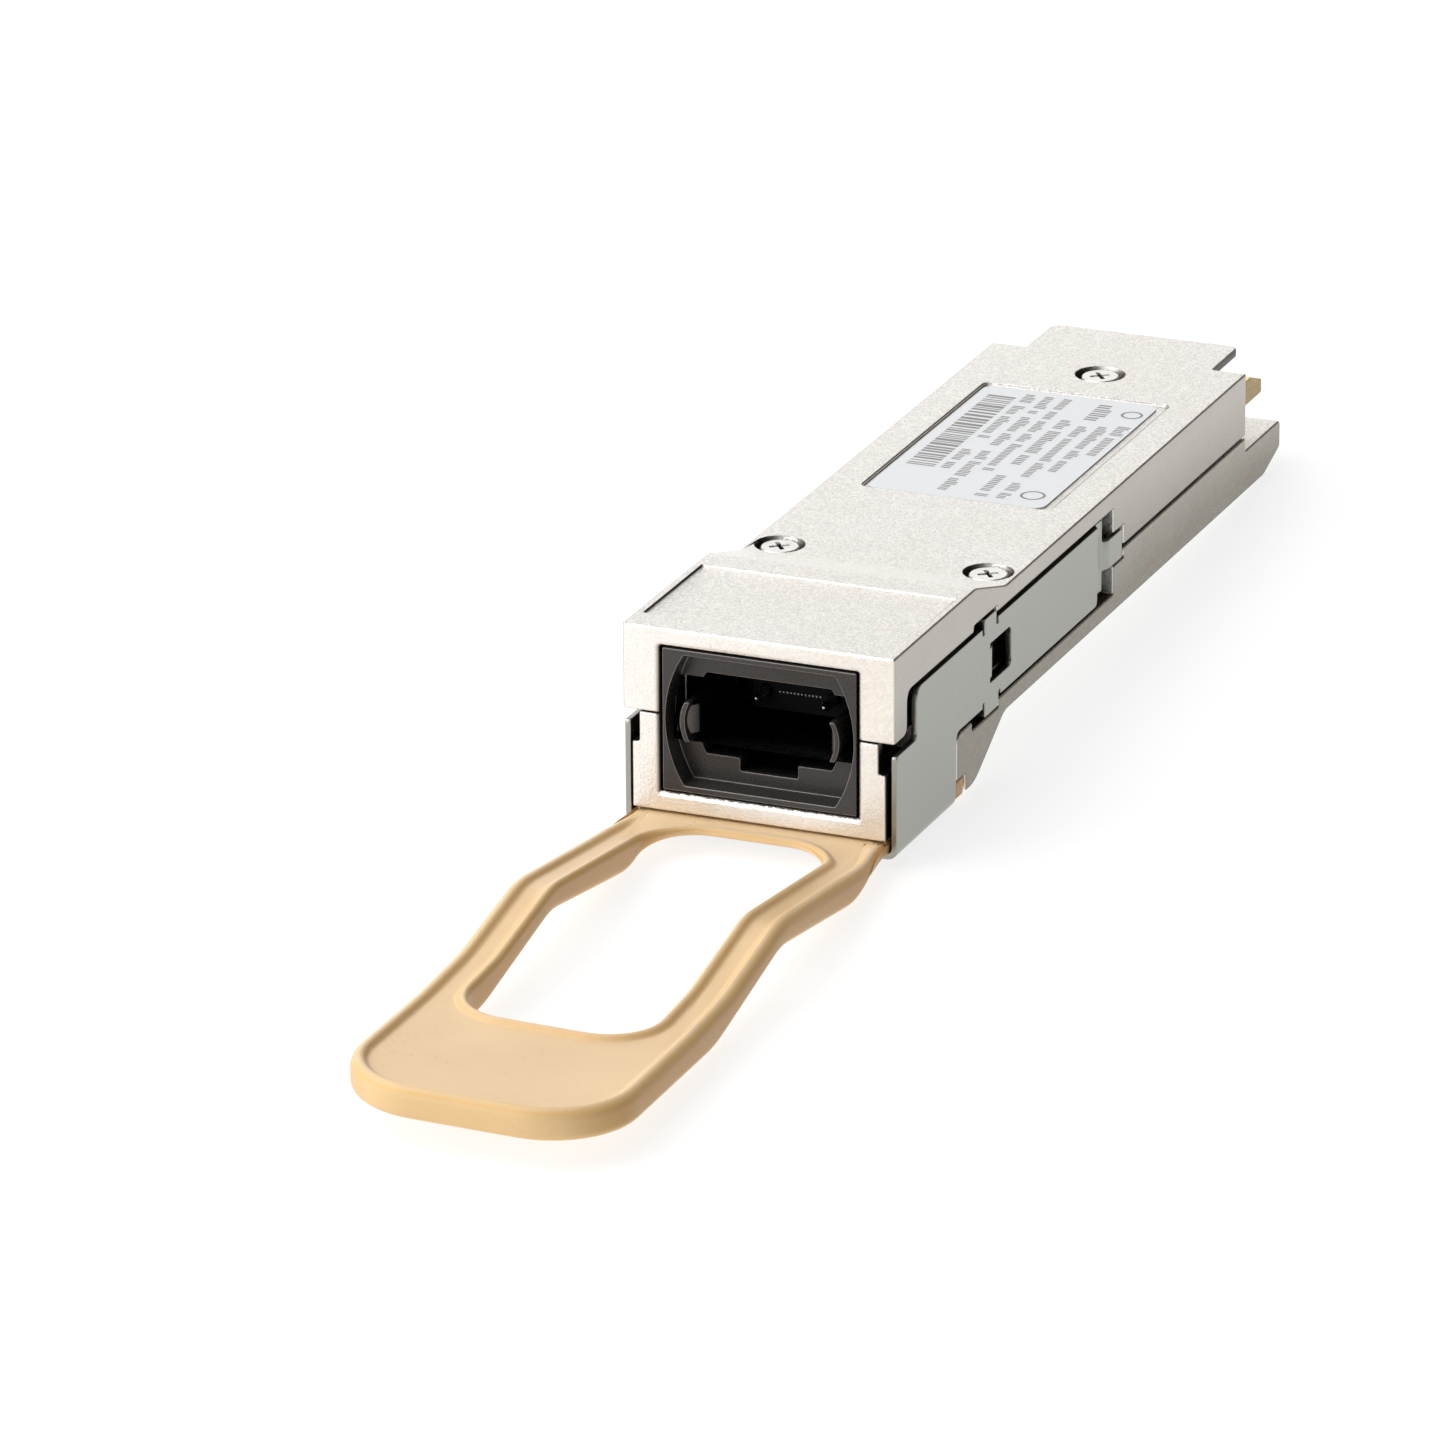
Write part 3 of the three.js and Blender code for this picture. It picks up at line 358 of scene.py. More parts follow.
def ribbon_matrix():
    """Twelve coated fibres side by side, each in its own colour."""
    m = Material("ribbon_matrix", Roughness=0.22, IOR=1.5)
    across = m.remap(m.place_part("X"), (-1.5, 1.5), (0, 1))
    ramp = m.tree.nodes.new("ShaderNodeValToRGB")
    ramp.color_ramp.interpolation = "CONSTANT"
    colours = (
        (0.03, 0.14, 0.6), (0.8, 0.25, 0.03), (0.04, 0.38, 0.1), (0.22, 0.1, 0.05),
        (0.3, 0.31, 0.32), (0.8, 0.8, 0.78), (0.65, 0.03, 0.03), (0.02, 0.02, 0.02),
        (0.85, 0.7, 0.06), (0.28, 0.08, 0.4), (0.85, 0.35, 0.42), (0.1, 0.6, 0.62),
    )
    stops = ramp.color_ramp.elements
    for index, colour in enumerate(colours):
        stop = stops[index] if index < 2 else stops.new(index / len(colours))
        stop.position = index / len(colours)
        stop.color = (*colour, 1)
    m.tree.links.new(across, ramp.inputs["Fac"])
    m.set("Base Color", ramp.outputs["Color"])
    ridges = m.math("SINE", m.math("MULTIPLY", across, 24 * math.pi))
    m.set("Normal", m.bump(ridges, 0.04))
    return m.material


def soft_filler(name, colour, roughness, size):
    m = Material(name, IOR=1.42)
    lumps = m.noise(size, 3.0)
    dark = [c * 0.8 for c in colour]
    m.set("Base Color", m.blend(m.remap(lumps, (0.3, 0.7), (0, 1)), dark, colour))
    m.set("Roughness", m.remap(lumps, (0.3, 0.7), (roughness, roughness + 0.15)))
    m.set("Normal", m.bump(lumps, 0.05))
    return m.material


def amber_resin():
    m = Material("amber_resin", IOR=1.63, Coat_Weight=0.4, Coat_Roughness=0.05)
    streaks = m.noise(1.2, 2.0)
    m.set("Base Color", m.blend(streaks, (0.5, 0.23, 0.05), (0.66, 0.36, 0.1)))
    m.set("Roughness", m.remap(streaks, (0.3, 0.7), (0.06, 0.14)))
    return m.material


def bare_die():
    """Silicon or arsenide die: dark, glossy, with a faint grid of pads."""
    m = Material("bare_die", Metallic=0.35)
    grid = m.add("TexBrick", {
        "Vector": m.position(),
        "Scale": 4.0,
        "Color1": (0.1, 0.1, 0.13, 1),
        "Color2": (0.14, 0.13, 0.16, 1),
        "Mortar": (0.5, 0.4, 0.2, 1),
        "Mortar Size": 0.04,
    })
    m.set("Base Color", grid.outputs["Color"])
    m.set("Roughness", m.remap(m.noise(0.2), (0.3, 0.7), (0.16, 0.28)))
    return m.material


def tinned_ceramic():
    """Chip capacitor: tan ceramic between two tinned ends."""
    m = Material("tinned_ceramic")
    along = m.math("FRACT", m.place_part("X"))
    end = m.math("GREATER_THAN", m.math("ABSOLUTE", m.math("SUBTRACT", along, 0.5)), 0.24)
    speckle = m.noise(0.08)
    tan = m.blend(speckle, (0.36, 0.24, 0.13), (0.5, 0.36, 0.21))
    m.set("Base Color", m.blend(end, tan, (0.72, 0.72, 0.7)))
    m.set("Metallic", end)
    m.set("Roughness", m.remap(speckle, (0.3, 0.7), (0.28, 0.45)))
    return m.material


nickel = blasted_nickel()
sheet = satin_sheet()
screw_steel = bright_steel("screw_steel", (0.74, 0.73, 0.71), 0.27, dark_below=8.22)
spring_steel = bright_steel("spring_steel", (0.62, 0.62, 0.6), 0.22)
gold = bright_steel("contact_gold", (0.95, 0.68, 0.27), 0.2)
elastomer = tab_elastomer()
charcoal = moulded_plastic("socket_charcoal", (0.03, 0.027, 0.026), 0.3, dark_range=(1.9, 3.2))
latch_charcoal = moulded_plastic("latch_charcoal", (0.03, 0.027, 0.026), 0.3, dark_range=(0.3, 1.2))
ferrule_plastic = moulded_plastic("ferrule_plastic", (0.006, 0.006, 0.007), 0.6, gloss=0.12)
epoxy = moulded_plastic("chip_epoxy", (0.018, 0.018, 0.019), 0.5)
die = bare_die()
FINISHES = {
    "top_shell": nickel,
    "bottom_shell": nickel,
    "cover_screw_front_left": screw_steel,
    "cover_screw_front_right": screw_steel,
    "cover_screw_rear": screw_steel,
    "product_label": label_film(),
    "latch_slider": sheet,
    "fibre_socket": charcoal,
    "socket_latch_right": latch_charcoal,
    "socket_latch_left": latch_charcoal,
    "mt_ferrule": ferrule_plastic,
    "guide_pin_right": spring_steel,
    "guide_pin_left": spring_steel,
    "pin_keeper": spring_steel,
    "emi_gasket": soft_filler("gasket_elastomer", (0.13, 0.13, 0.135), 0.6, 0.3),
    "fibre_ribbon": ribbon_matrix(),
    "lens_block": amber_resin(),
    "vcsel_array": die,
    "photodiode_array": die,
    "laser_driver_ic": die,
    "receiver_ic": die,
    "circuit_board": card_laminate(),
    "microcontroller": epoxy,
    "power_inductor": epoxy,
    "capacitor_1": tinned_ceramic(),
    "thermal_pad_top": soft_filler("gap_filler", (0.36, 0.46, 0.58), 0.7, 0.6),
}
FINISHES["thermal_pad_bottom"] = FINISHES["thermal_pad_top"]
for number in (2, 3, 4):
    FINISHES[f"capacitor_{number}"] = FINISHES["capacitor_1"]


# ---- The CAD nodes ----

# How far each node's sharp edges are rounded, in millimetres.
ROUNDING = {
    "top_shell": 0.14,
    "bottom_shell": 0.14,
    "latch_slider": 0.06,
    "fibre_socket": 0.1,
    "socket_latch_right": 0.07,
    "socket_latch_left": 0.07,
    "mt_ferrule": 0.04,
    "circuit_board": 0.03,
    "product_label": 0.015,
    "microcontroller": 0.04,
    "power_inductor": 0.08,
    "pin_keeper": 0.05,
    "lens_block": 0.05,
    "thermal_pad_top": 0.15,
    "thermal_pad_bottom": 0.12,
}
SMALL_ROUNDING = 0.03
WELDING = {"latch_slider": 0.01}
SMALL_WELDING = 0.002
SMALL_FLAT_ANGLE = 0.6
FLAT_ANGLE = {"latch_slider": 4}
SHARP_ANGLE = 33
# Round the shallow recess on the nose and round the front screws there is less room.
FINE_BOXES = {
    "top_shell": (((-8.9, 2.0, 9.7), (8.9, 12.1, 10.2)), ((-9.1, 19.5, 7.4), (9.1, 23.1, 8.6))),
}
FINE_SHARE = 0.4


def edge_marks(fine_boxes=()):
    """A modifier's node group that shades faces smooth and marks sharp edges for rounding, less
    of it inside the boxes."""
    group = bpy.data.node_groups.new("edge_marks", "GeometryNodeTree")
    group.interface.new_socket("Geometry", in_out="INPUT", socket_type="NodeSocketGeometry")
    group.interface.new_socket("Geometry", in_out="OUTPUT", socket_type="NodeSocketGeometry")

    def add(kind, inputs, **settings):
        node = group.nodes.new(kind)
        for key, value in settings.items():
            setattr(node, key, value)
        for key, value in inputs.items():
            if isinstance(value, bpy.types.NodeSocket):
                group.links.new(value, node.inputs[key])
            else:
                node.inputs[key].default_value = value
        return node.outputs[0]

    angle = add("GeometryNodeInputMeshEdgeAngle", {})
    sharp = add("ShaderNodeMath", {0: angle, 1: math.radians(SHARP_ANGLE)}, operation="GREATER_THAN")
    start = add("NodeGroupInput", {})
    shaded = add("GeometryNodeSetShadeSmooth", {"Geometry": start})
    place = add("GeometryNodeInputPosition", {})
    for box in fine_boxes:
        low, high = (at(*corner) for corner in box)
        away = add("ShaderNodeVectorMath", {0: place, 1: (low + high) / 2}, operation="SUBTRACT")
        away = add("ShaderNodeVectorMath", {0: away}, operation="ABSOLUTE")
        over = add("ShaderNodeVectorMath", {0: away, 1: (high - low) / 2}, operation="SUBTRACT")
        parts = group.nodes.new("ShaderNodeSeparateXYZ")
        group.links.new(over, parts.inputs[0])
        most = add("ShaderNodeMath", {0: parts.outputs[0], 1: parts.outputs[1]}, operation="MAXIMUM")
        most = add("ShaderNodeMath", {0: most, 1: parts.outputs[2]}, operation="MAXIMUM")
        outside = add("ShaderNodeMath", {0: most, 1: 0.0}, operation="GREATER_THAN")
        share = add("ShaderNodeMath", {0: outside, 1: FINE_SHARE}, operation="MAXIMUM")
        sharp = add("ShaderNodeMath", {0: sharp, 1: share}, operation="MULTIPLY")
    inputs = {"Geometry": shaded, "Name": "bevel_weight_edge", "Value": sharp}
    marked = add("GeometryNodeStoreNamedAttribute", inputs, data_type="FLOAT", domain="EDGE")
    end = group.nodes.new("NodeGroupOutput")
    group.links.new(marked, end.inputs[0])
    return group


ALL_EDGES = edge_marks()


def round_edges(piece, width, segments=2, marks=ALL_EDGES):
    """Rounds the sharp edges by width in millimetres and keeps the flat faces flat."""
    smooth = piece.modifiers.new("edges", "NODES")
    smooth.node_group = marks
    bevel = piece.modifiers.new("bevel", "BEVEL")
    bevel.width = width * MM
    bevel.segments = segments
    bevel.limit_method = "WEIGHT"
    bevel.use_clamp_overlap = False
    bevel.miter_outer = "MITER_ARC"
    normals = piece.modifiers.new("normals", "WEIGHTED_NORMAL")
    normals.weight = 100


def refine(name):
    """Joins a CAD node's facets into whole faces, rounds its edges and gives it its finish."""
    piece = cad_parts[name]
    weld = piece.modifiers.new("weld", "WELD")
    weld.merge_threshold = WELDING.get(name, SMALL_WELDING) * MM
    facets = piece.modifiers.new("facets", "DECIMATE")
    facets.decimate_type = "DISSOLVE"
    facets.angle_limit = math.radians(FLAT_ANGLE.get(name, SMALL_FLAT_ANGLE))
    marks = edge_marks(FINE_BOXES[name]) if name in FINE_BOXES else ALL_EDGES
    round_edges(piece, ROUNDING.get(name, SMALL_ROUNDING), marks=marks)
    for slot in piece.material_slots:
        slot.material = FINISHES[name]


for node_name in FINISHES:
    refine(node_name)


# ---- Mesh pieces ----


def new_piece(name, mesh, material, body):
    """A finished piece that rides on a body. The mesh is a bmesh in metres."""
    bmesh.ops.recalc_face_normals(mesh, faces=mesh.faces)
    data = bpy.data.meshes.new(name)
    mesh.to_mesh(data)
    mesh.free()
    for polygon in data.polygons:
        polygon.use_smooth = True
    data.materials.append(material)
    piece = bpy.data.objects.new(name, data)
    bpy.context.scene.collection.objects.link(piece)
    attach(piece, body)
    return piece


def add_block(mesh, x_range, y_range, z_range):
    corners = [
        mesh.verts.new(at(x, y, z)) for z in z_range for y in y_range for x in x_range
    ]
    for face in ((0, 1, 3, 2), (4, 5, 7, 6), (0, 1, 5, 4), (2, 3, 7, 6), (0, 2, 6, 4), (1, 3, 7, 5)):
        mesh.faces.new([corners[i] for i in face])


def add_disc(mesh, centre, radius, depth, axis, sides=12):
    """A short cylinder whose far end is at centre and which runs depth along axis."""
    turn = Vector((0, 0, 1)).rotation_difference(Vector(axis)).to_matrix().to_4x4()
    middle = at(*centre) + Vector(axis) * depth * MM / 2
    bmesh.ops.create_cone(
        mesh,
        cap_ends=True,
        segments=sides,
        radius1=radius * MM,
        radius2=radius * MM,
        depth=depth * MM,
        matrix=Matrix.Translation(middle) @ turn,
    )


# ---- Pull tab ----

# Corners (y, z) of the tab's upper and lower surface seen from the side.
TAB_UPPER = (
    (-60, -2.75), (-32, -2.71), (-26.2, -2.34), (-17.8, -0.64), (-4, -2.2), (-1.5, -2.32),
    (20, -2.32),
)
TAB_LOWER = (
    (-60, -4.8), (-28.8, -4.8), (-18.2, -2.33), (-6.1, -4.02), (-2.2, -2.95), (20, -2.95),
)
TAB_BEND = 1.1
TAB_TWIST = 0.02
TROUGH_DEPTH = 0.34
TROUGH_EDGE = 1.25
TROUGH_SLOPE = ((0, 0), (0.14, 0.04), (0.33, 0.2), (0.5, 0.5), (0.67, 0.8), (0.86, 0.96), (1, 1))
UNDER_EDGE = 0.5


def straight_height(points, y):
    """Height at y of the straight stretches between those points."""
    for (y0, z0), (y1, z1) in zip(points, points[1:]):
        if y <= y1:
            return z0 + (z1 - z0) * (y - y0) / (y1 - y0)
    return points[-1][1]


def bent_height(points, y):
    """The same with each corner rounded over TAB_BEND to either side."""
    samples = 12
    shifts = [TAB_BEND * ((k + 0.5) * 2 / samples - 1) for k in range(samples)]
    return sum(straight_height(points, y + shift) for shift in shifts) / samples


def ring_of_arcs(corners, arc_steps, side_steps):
    """Points and outward normals round a shape given as rounded corners, each (x, y, radius,
    first angle in degrees), with straight sides between them."""
    ring = []
    for i, (x, y, radius, angle) in enumerate(corners):
        for k in range(arc_steps + 1):
            turn = math.radians(angle - 90 * k / arc_steps)
            normal = Vector((math.cos(turn), math.sin(turn)))
            ring.append((Vector((x, y)) + normal * radius, normal))
        next_x, next_y, next_radius, next_angle = corners[(i + 1) % len(corners)]
        facing = math.radians(next_angle)
        normal = Vector((math.cos(facing), math.sin(facing)))
        start = ring[-1][0]
        end = Vector((next_x, next_y)) + normal * next_radius
        steps = side_steps[i]
        ring += [(start.lerp(end, k / steps), normal) for k in range(1, steps)]
    return ring


def quarter_round(inset, depth, steps=5):
    """A rounded edge from the wall, depth below the surface, to the surface, inset from the wall."""
    turns = [math.pi / 2 * k / steps for k in range(steps + 1)]
    return [(inset * (1 - math.cos(turn)), depth * (1 - math.sin(turn))) for turn in turns]


def tab_section():
    """The section across the tab's rim as (ring, inset, depth, surface): an inset from the outer
    or the hole's edge, and a depth below the upper surface or above the lower one."""
    outer = quarter_round(0.6, 0.8, 7)
    hole = quarter_round(0.34, 0.5, 6)
    under = quarter_round(UNDER_EDGE, 0.65)
    slope = [(0.62 * along, TROUGH_DEPTH * down) for along, down in TROUGH_SLOPE]
    outer_crest, hole_crest = 0.62, 0.36
    section = [("outer", inset, depth, "upper") for inset, depth in outer]
    section += [("outer", outer_crest + inset, depth, "trough") for inset, depth in slope]
    section += [("floor", part, TROUGH_DEPTH, "trough") for part in (0.25, 0.5, 0.75)]
    section += [("hole", hole_crest + inset, depth, "trough") for inset, depth in reversed(slope)]
    section += [("hole", inset, depth, "upper") for inset, depth in reversed(hole)]
    section += [("hole", inset, depth, "lower") for inset, depth in under]
    section += [("under", part, 0, "lower") for part in (0.33, 0.66)]
    section += [("outer", inset, depth, "lower") for inset, depth in reversed(under)]
    return section


def tab_loop():
    """The long loop of the pull tab as one closed skin round its hole."""
    side_steps = (60, 10, 60, 10)
    arc_steps = 14
    corner_x = TAB_HALF - TAB_CORNER
    root_x = TAB_HALF - TAB_ROOT_CORNER
    root_y = TAB_FRONT - TAB_ROOT_CORNER
    outer = ring_of_arcs(
        (
            (root_x, root_y, TAB_ROOT_CORNER, 90),
            (corner_x, TAB_TIP + TAB_CORNER, TAB_CORNER, 0),
            (-corner_x, TAB_TIP + TAB_CORNER, TAB_CORNER, -90),
            (-root_x, root_y, TAB_ROOT_CORNER, -180),
        ),
        arc_steps,
        side_steps,
    )
    hole_x = HOLE_HALF - HOLE_CORNER
    hole = ring_of_arcs(
        (
            (hole_x, HOLE_FRONT - HOLE_CORNER, HOLE_CORNER, 90),
            (hole_x, HOLE_REAR + HOLE_CORNER, HOLE_CORNER, 0),
            (-hole_x, HOLE_REAR + HOLE_CORNER, HOLE_CORNER, -90),
            (-hole_x, HOLE_FRONT - HOLE_CORNER, HOLE_CORNER, -180),
        ),
        arc_steps,
        side_steps,
    )
    mesh = bmesh.new()
    rings = []
    for kind, inset, depth, surface in tab_section():
        ring = []
        for (outer_point, outer_normal), (hole_point, hole_normal) in zip(outer, hole):
            if kind == "outer":
                point = outer_point - outer_normal * inset
            elif kind == "hole":
                point = hole_point + hole_normal * inset
            else:
                edge = TROUGH_EDGE if kind == "floor" else UNDER_EDGE
                start = outer_point - outer_normal * edge
                end = hole_point + hole_normal * edge
                point = start.lerp(end, inset)
            x, y = point
            if surface == "lower":
                z = bent_height(TAB_LOWER, y) + depth
            else:
                fade = smoothstep(-0.3, -3.2, y) if surface == "trough" else 1
                z = bent_height(TAB_UPPER, y) - depth * fade
            z -= TAB_TWIST * x * smoothstep(-4, -30, y)
            narrowed = 1 - (1 - TAB_ROOT_HALF / TAB_HALF) * smoothstep(-4.6, -0.2, y)
            ring.append(mesh.verts.new(at(x * narrowed, y, z)))
        rings.append(ring)
    count = len(outer)
    for ring, following in zip(rings, rings[1:] + rings[:1]):
        for i in range(count):
            j = (i + 1) % count
            mesh.faces.new((ring[i], ring[j], following[j], following[i]))
    return mesh


def build_pull_tab():
    mesh = tab_loop()
    loop = new_piece("pull_tab_loop", mesh, elastomer, "release_latch")
    smooth = loop.modifiers.new("smooth", "SUBSURF")
    smooth.levels = 1
    smooth.render_levels = 1
    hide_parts("pull_tab")
    root = bmesh.new()
    add_block(root, (-8.45, 8.45), (0.5, 11.0), (-2.95, -2.32))
    add_block(root, (-9.1, 9.1), (10.75, 12.05), (-3.1, -1.95))
    for x in (-5, 0, 5):
        add_disc(root, (x, 5.5, -3.45), 1.15, 0.8, (0, 0, 1), 32)
    piece = new_piece("pull_tab_root", root, elastomer, "release_latch")
    round_edges(piece, 0.12)
    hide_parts("pull_tab")


build_pull_tab()


# ---- Return springs ----

WIRE_SIDES = 8
STEPS_PER_TURN = 24


def build_spring(name, side):
    """A round-wire spring of even pitch."""
    start = SPRING_FRONT + SPRING_WIRE
    end = SPRING_REAR - SPRING_WIRE
    steps = int(SPRING_TURNS * STEPS_PER_TURN)
    mesh = bmesh.new()
    rings = []
    for k in range(steps + 1):
        y = start + (end - start) * k / steps
        turn = 2 * math.pi * SPRING_TURNS * k / steps
        ring = []
        for i in range(WIRE_SIDES):
            angle = 2 * math.pi * i / WIRE_SIDES
            reach = SPRING_COIL + SPRING_WIRE * math.cos(angle)
            x = side * (SPRING_X + reach * math.cos(turn))
            z = SPRING_Z + reach * math.sin(turn)
            ring.append(mesh.verts.new(at(x, y + SPRING_WIRE * math.sin(angle), z)))
        rings.append(ring)
    for ring, following in zip(rings, rings[1:]):
        for i in range(WIRE_SIDES):
            j = (i + 1) % WIRE_SIDES
            mesh.faces.new((ring[i], ring[j], following[j], following[i]))
    mesh.faces.new(rings[0])
    mesh.faces.new(rings[-1])
    piece = new_piece(name + "_wire", mesh, spring_steel, "housing")
    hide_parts(name)
    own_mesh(piece)


build_spring("latch_spring_right", 1)
build_spring("latch_spring_left", -1)


# ---- Marks on the label ----

# Each row of marks: place across the label, stretches along it and the height of its marks.
MARK_ROWS = (
    (5.3, ((51.5, 44.6),), 0.9),
    (4.05, ((51.0, 40.5),), 0.8),
    (2.75, ((55.3, 51.6),), 1.2),
    (2.75, ((50.6, 39.2), (38.3, 35.2)), 0.8),
    (1.3, ((51.4, 41.6), (39.4, 35.0)), 0.9),
    (-0.1, ((55.5, 46.2), (45.6, 39.9)), 0.8),
    (-1.4, ((55.5, 51.6), (51.0, 44.5), (43.6, 35.0)), 0.85),
    (-2.75, ((55.5, 53.6), (53.0, 46.0), (43.5, 39.0)), 0.85),
)
MARK_TOP = LABEL_TOP + 0.006


def build_label_marks():
    """Rows of plain double strokes that stand for print, a block of bars and two plain rings."""
    rng = random.Random(28)
    mesh = bmesh.new()

    def mark(x_range, y_range):
        corners = [(x_range[0], y_range[0]), (x_range[1], y_range[0])]
        corners += [(x_range[1], y_range[1]), (x_range[0], y_range[1])]
        mesh.faces.new([mesh.verts.new(at(x, y, MARK_TOP)) for x, y in corners])

    def ring(x, y, radius, width, sides=40):
        circles = []
        for reach in (radius, radius - width):
            turns = [2 * math.pi * k / sides for k in range(sides)]
            circles.append([
                mesh.verts.new(at(x + reach * math.cos(t), y + reach * math.sin(t), MARK_TOP))
                for t in turns
            ])
        for k in range(sides):
            after = (k + 1) % sides
            mesh.faces.new((circles[0][k], circles[0][after], circles[1][after], circles[1][k]))

    for x, stretches, height in MARK_ROWS:
        for rear, front in stretches:
            y = rear
            left_in_word = rng.randint(3, 8)
            while y > front + height * 0.4:
                width = height * rng.uniform(0.45, 0.62)
                low = x - height / 2
                high = low + height * rng.choice((0.75, 0.75, 1.0))
                mark((low, high), (y - width * 0.35, y))
                mark((low, high), (y - width, y - width * 0.65))
                y -= width + height * 0.22
                left_in_word -= 1
                if left_in_word == 0:
                    y -= height * 0.5
                    left_in_word = rng.randint(3, 8)
    y = 54.6
    while y > 39.2:
        width = rng.choice((0.17, 0.17, 0.3, 0.42))
        mark((-5.6, -3.6), (y - width, y))
        y -= width + rng.choice((0.17, 0.17, 0.3))
    ring(4.9, 54.0, 0.75, 0.18)
    ring(4.5, 36.4, 0.85, 0.18)
    return new_piece("label_marks", mesh, label_ink(), "housing")


build_label_marks()


# ---- Card contacts ----


def build_card_contacts():
    """Nineteen gold contacts on each face of the card's rear end, every third one longer."""
    half = CONTACT_WIDTH / 2
    for side, z_range in (
        ("top", (CARD_TOP, CARD_TOP + CONTACT_THICKNESS)),
        ("bottom", (CARD_BOTTOM - CONTACT_THICKNESS, CARD_BOTTOM)),
    ):
        mesh = bmesh.new()
        for index in range(CONTACT_COUNT):
            x = (index - CONTACT_COUNT // 2) * CONTACT_PITCH
            margin = LONG_CONTACT_MARGIN if index % 3 == 0 else SHORT_CONTACT_MARGIN
            rear = CARD_REAR - margin
            add_block(mesh, (x - half, x + half), (CONTACT_FRONT, rear), z_range)
        piece = new_piece(f"card_contacts_{side}", mesh, gold, "housing")
        round_edges(piece, 0.01, segments=1)


def build_fibre_ends():
    """The twelve polished fibre ends in the ferrule's face."""
    mesh = bmesh.new()
    for index in range(FIBRE_COUNT):
        x = (index - (FIBRE_COUNT - 1) / 2) * FIBRE_PITCH
        add_disc(mesh, (x, FERRULE_FACE - 0.01, FERRULE_Z), FIBRE_RADIUS, 0.02, (0, 1, 0))
    glass = Material("fibre_glass", IOR=1.46, Roughness=0.04)
    glass.set("Base Color", glass.blend(glass.noise(0.05), (0.5, 0.55, 0.6), (0.75, 0.8, 0.85)))
    new_piece("fibre_ends", mesh, glass.material, "housing")


build_card_contacts()
build_fibre_ends()


# ---- Floor, light and camera ----


def build_floor():
    """A wide pale plane that the latch slider's rear edge and the body's rear edge rest on."""
    front_y, front_z = WEB_REAR, -3.47
    rear_y, rear_z = 68.7, -0.01
    slope = math.atan2(rear_z - front_z, rear_y - front_y)
    half = 4.0
    data = bpy.data.meshes.new("floor")
    corners = [(-half, -half, 0), (half, -half, 0), (half, half, 0), (-half, half, 0)]
    data.from_pydata(corners, [], [(0, 1, 2, 3)])
    pale = Material("floor_pale", Roughness=0.9, Specular_IOR_Level=0.1)
    pale.set("Base Color", pale.blend(pale.noise(60.0), (0.28, 0.28, 0.28), (0.31, 0.31, 0.31)))
    pale.set("Emission Color", (1, 1, 1))
    pale.set("Emission Strength", 0.78)
    data.materials.append(pale.material)
    floor = bpy.data.objects.new("floor", data)
    bpy.context.scene.collection.objects.link(floor)
    floor.location = at(0, front_y, front_z)
    floor.rotation_euler = (slope, 0, 0)


def soft_light(name, direction, distance, size, energy, colour=(1, 1, 1)):
    light = bpy.data.lights.new(name, "AREA")
    light.shape = "RECTANGLE"
    light.size, light.size_y = size
    light.energy = energy
    light.color = colour
    lamp = bpy.data.objects.new(name, light)
    bpy.context.scene.collection.objects.link(lamp)
    lamp.location = Vector(direction).normalized() * distance
    lamp.rotation_mode = "QUATERNION"
    lamp.rotation_quaternion = lamp.location.to_track_quat("Z", "Y")


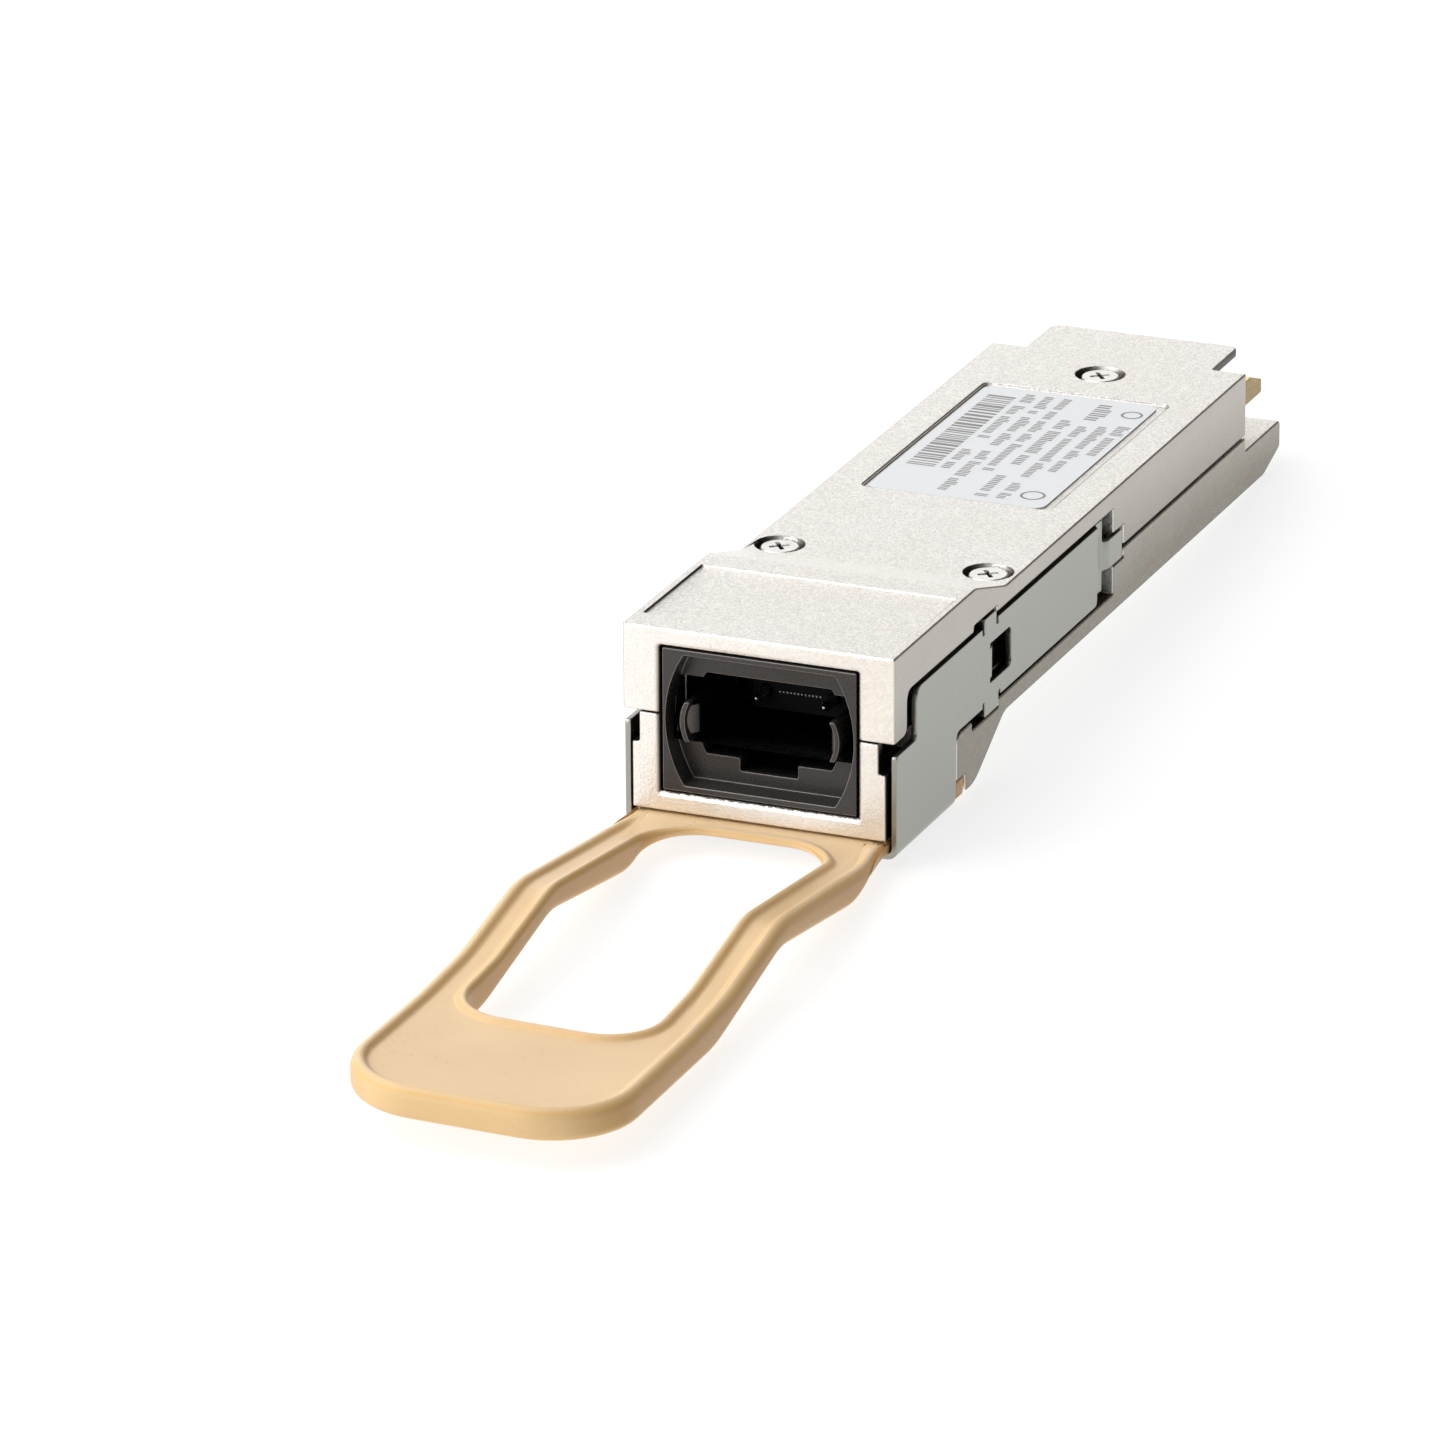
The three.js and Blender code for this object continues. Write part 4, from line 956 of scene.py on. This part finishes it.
def build_light():
    """Soft boxes to the left, in front, behind and above, and a darker right side of the room."""
    world = bpy.data.worlds.new("room")
    world.use_nodes = True
    nodes, links = world.node_tree.nodes, world.node_tree.links
    direction = nodes.new("ShaderNodeTexCoord")
    split = nodes.new("ShaderNodeSeparateXYZ")
    fade = nodes.new("ShaderNodeMapRange")
    tone = nodes.new("ShaderNodeMix")
    tone.data_type = "RGBA"
    links.new(direction.outputs["Generated"], split.inputs[0])
    links.new(split.outputs["X"], fade.inputs["Value"])
    fade.inputs["From Min"].default_value = -0.25
    fade.inputs["From Max"].default_value = 0.35
    links.new(fade.outputs["Result"], tone.inputs[0])
    tone.inputs[6].default_value = (0.95, 0.95, 0.95, 1)
    tone.inputs[7].default_value = (0.25, 0.245, 0.235, 1)
    links.new(tone.outputs[2], nodes["Background"].inputs["Color"])
    nodes["Background"].inputs["Strength"].default_value = 0.48
    bpy.context.scene.world = world
    soft_light("key_box", (-0.75, -0.35, 0.75), 0.7, (0.6, 0.6), 3.0)
    soft_light("rear_box", (-0.52, 0.86, 0.46), 0.5, (0.5, 0.4), 0.5, (1, 0.985, 0.975))
    soft_light("top_box", (-0.2, -0.2, 1), 0.8, (0.8, 0.8), 2.3)
    soft_light("front_box", (-0.45, -0.9, 0.3), 0.7, (0.6, 0.35), 1.25, (1, 0.97, 0.93))


LOOK_AT = Vector((0, 30, 4))
AZIMUTH, ELEVATION, ROLL = 22.594, 20.607, -0.321
DISTANCE, OFFSET_RIGHT, OFFSET_UP = 643.7, -13.696, -9.201
SENSOR = 36.0
FOCAL_LENGTH = 246.305


def build_camera():
    azimuth, elevation, roll = (math.radians(a) for a in (AZIMUTH, ELEVATION, ROLL))
    back = Vector((
        math.sin(azimuth) * math.cos(elevation),
        -math.cos(azimuth) * math.cos(elevation),
        math.sin(elevation),
    ))
    level = Vector((math.cos(azimuth), math.sin(azimuth), 0))
    upright = back.cross(level)
    right = level * math.cos(roll) + upright * math.sin(roll)
    up = upright * math.cos(roll) - level * math.sin(roll)
    camera = bpy.data.cameras.new("camera")
    camera.sensor_width = SENSOR
    camera.lens = FOCAL_LENGTH
    camera.clip_start = 0.05
    camera.clip_end = 20
    lens = bpy.data.objects.new("camera", camera)
    bpy.context.scene.collection.objects.link(lens)
    place = LOOK_AT + back * DISTANCE + right * OFFSET_RIGHT + up * OFFSET_UP
    rotation = Matrix((right, up, back)).transposed()
    lens.matrix_world = Matrix.Translation(at(*place)) @ rotation.to_4x4()
    bpy.context.scene.camera = lens


build_floor()
build_light()
build_camera()
bpy.context.scene.view_settings.view_transform = "Standard"
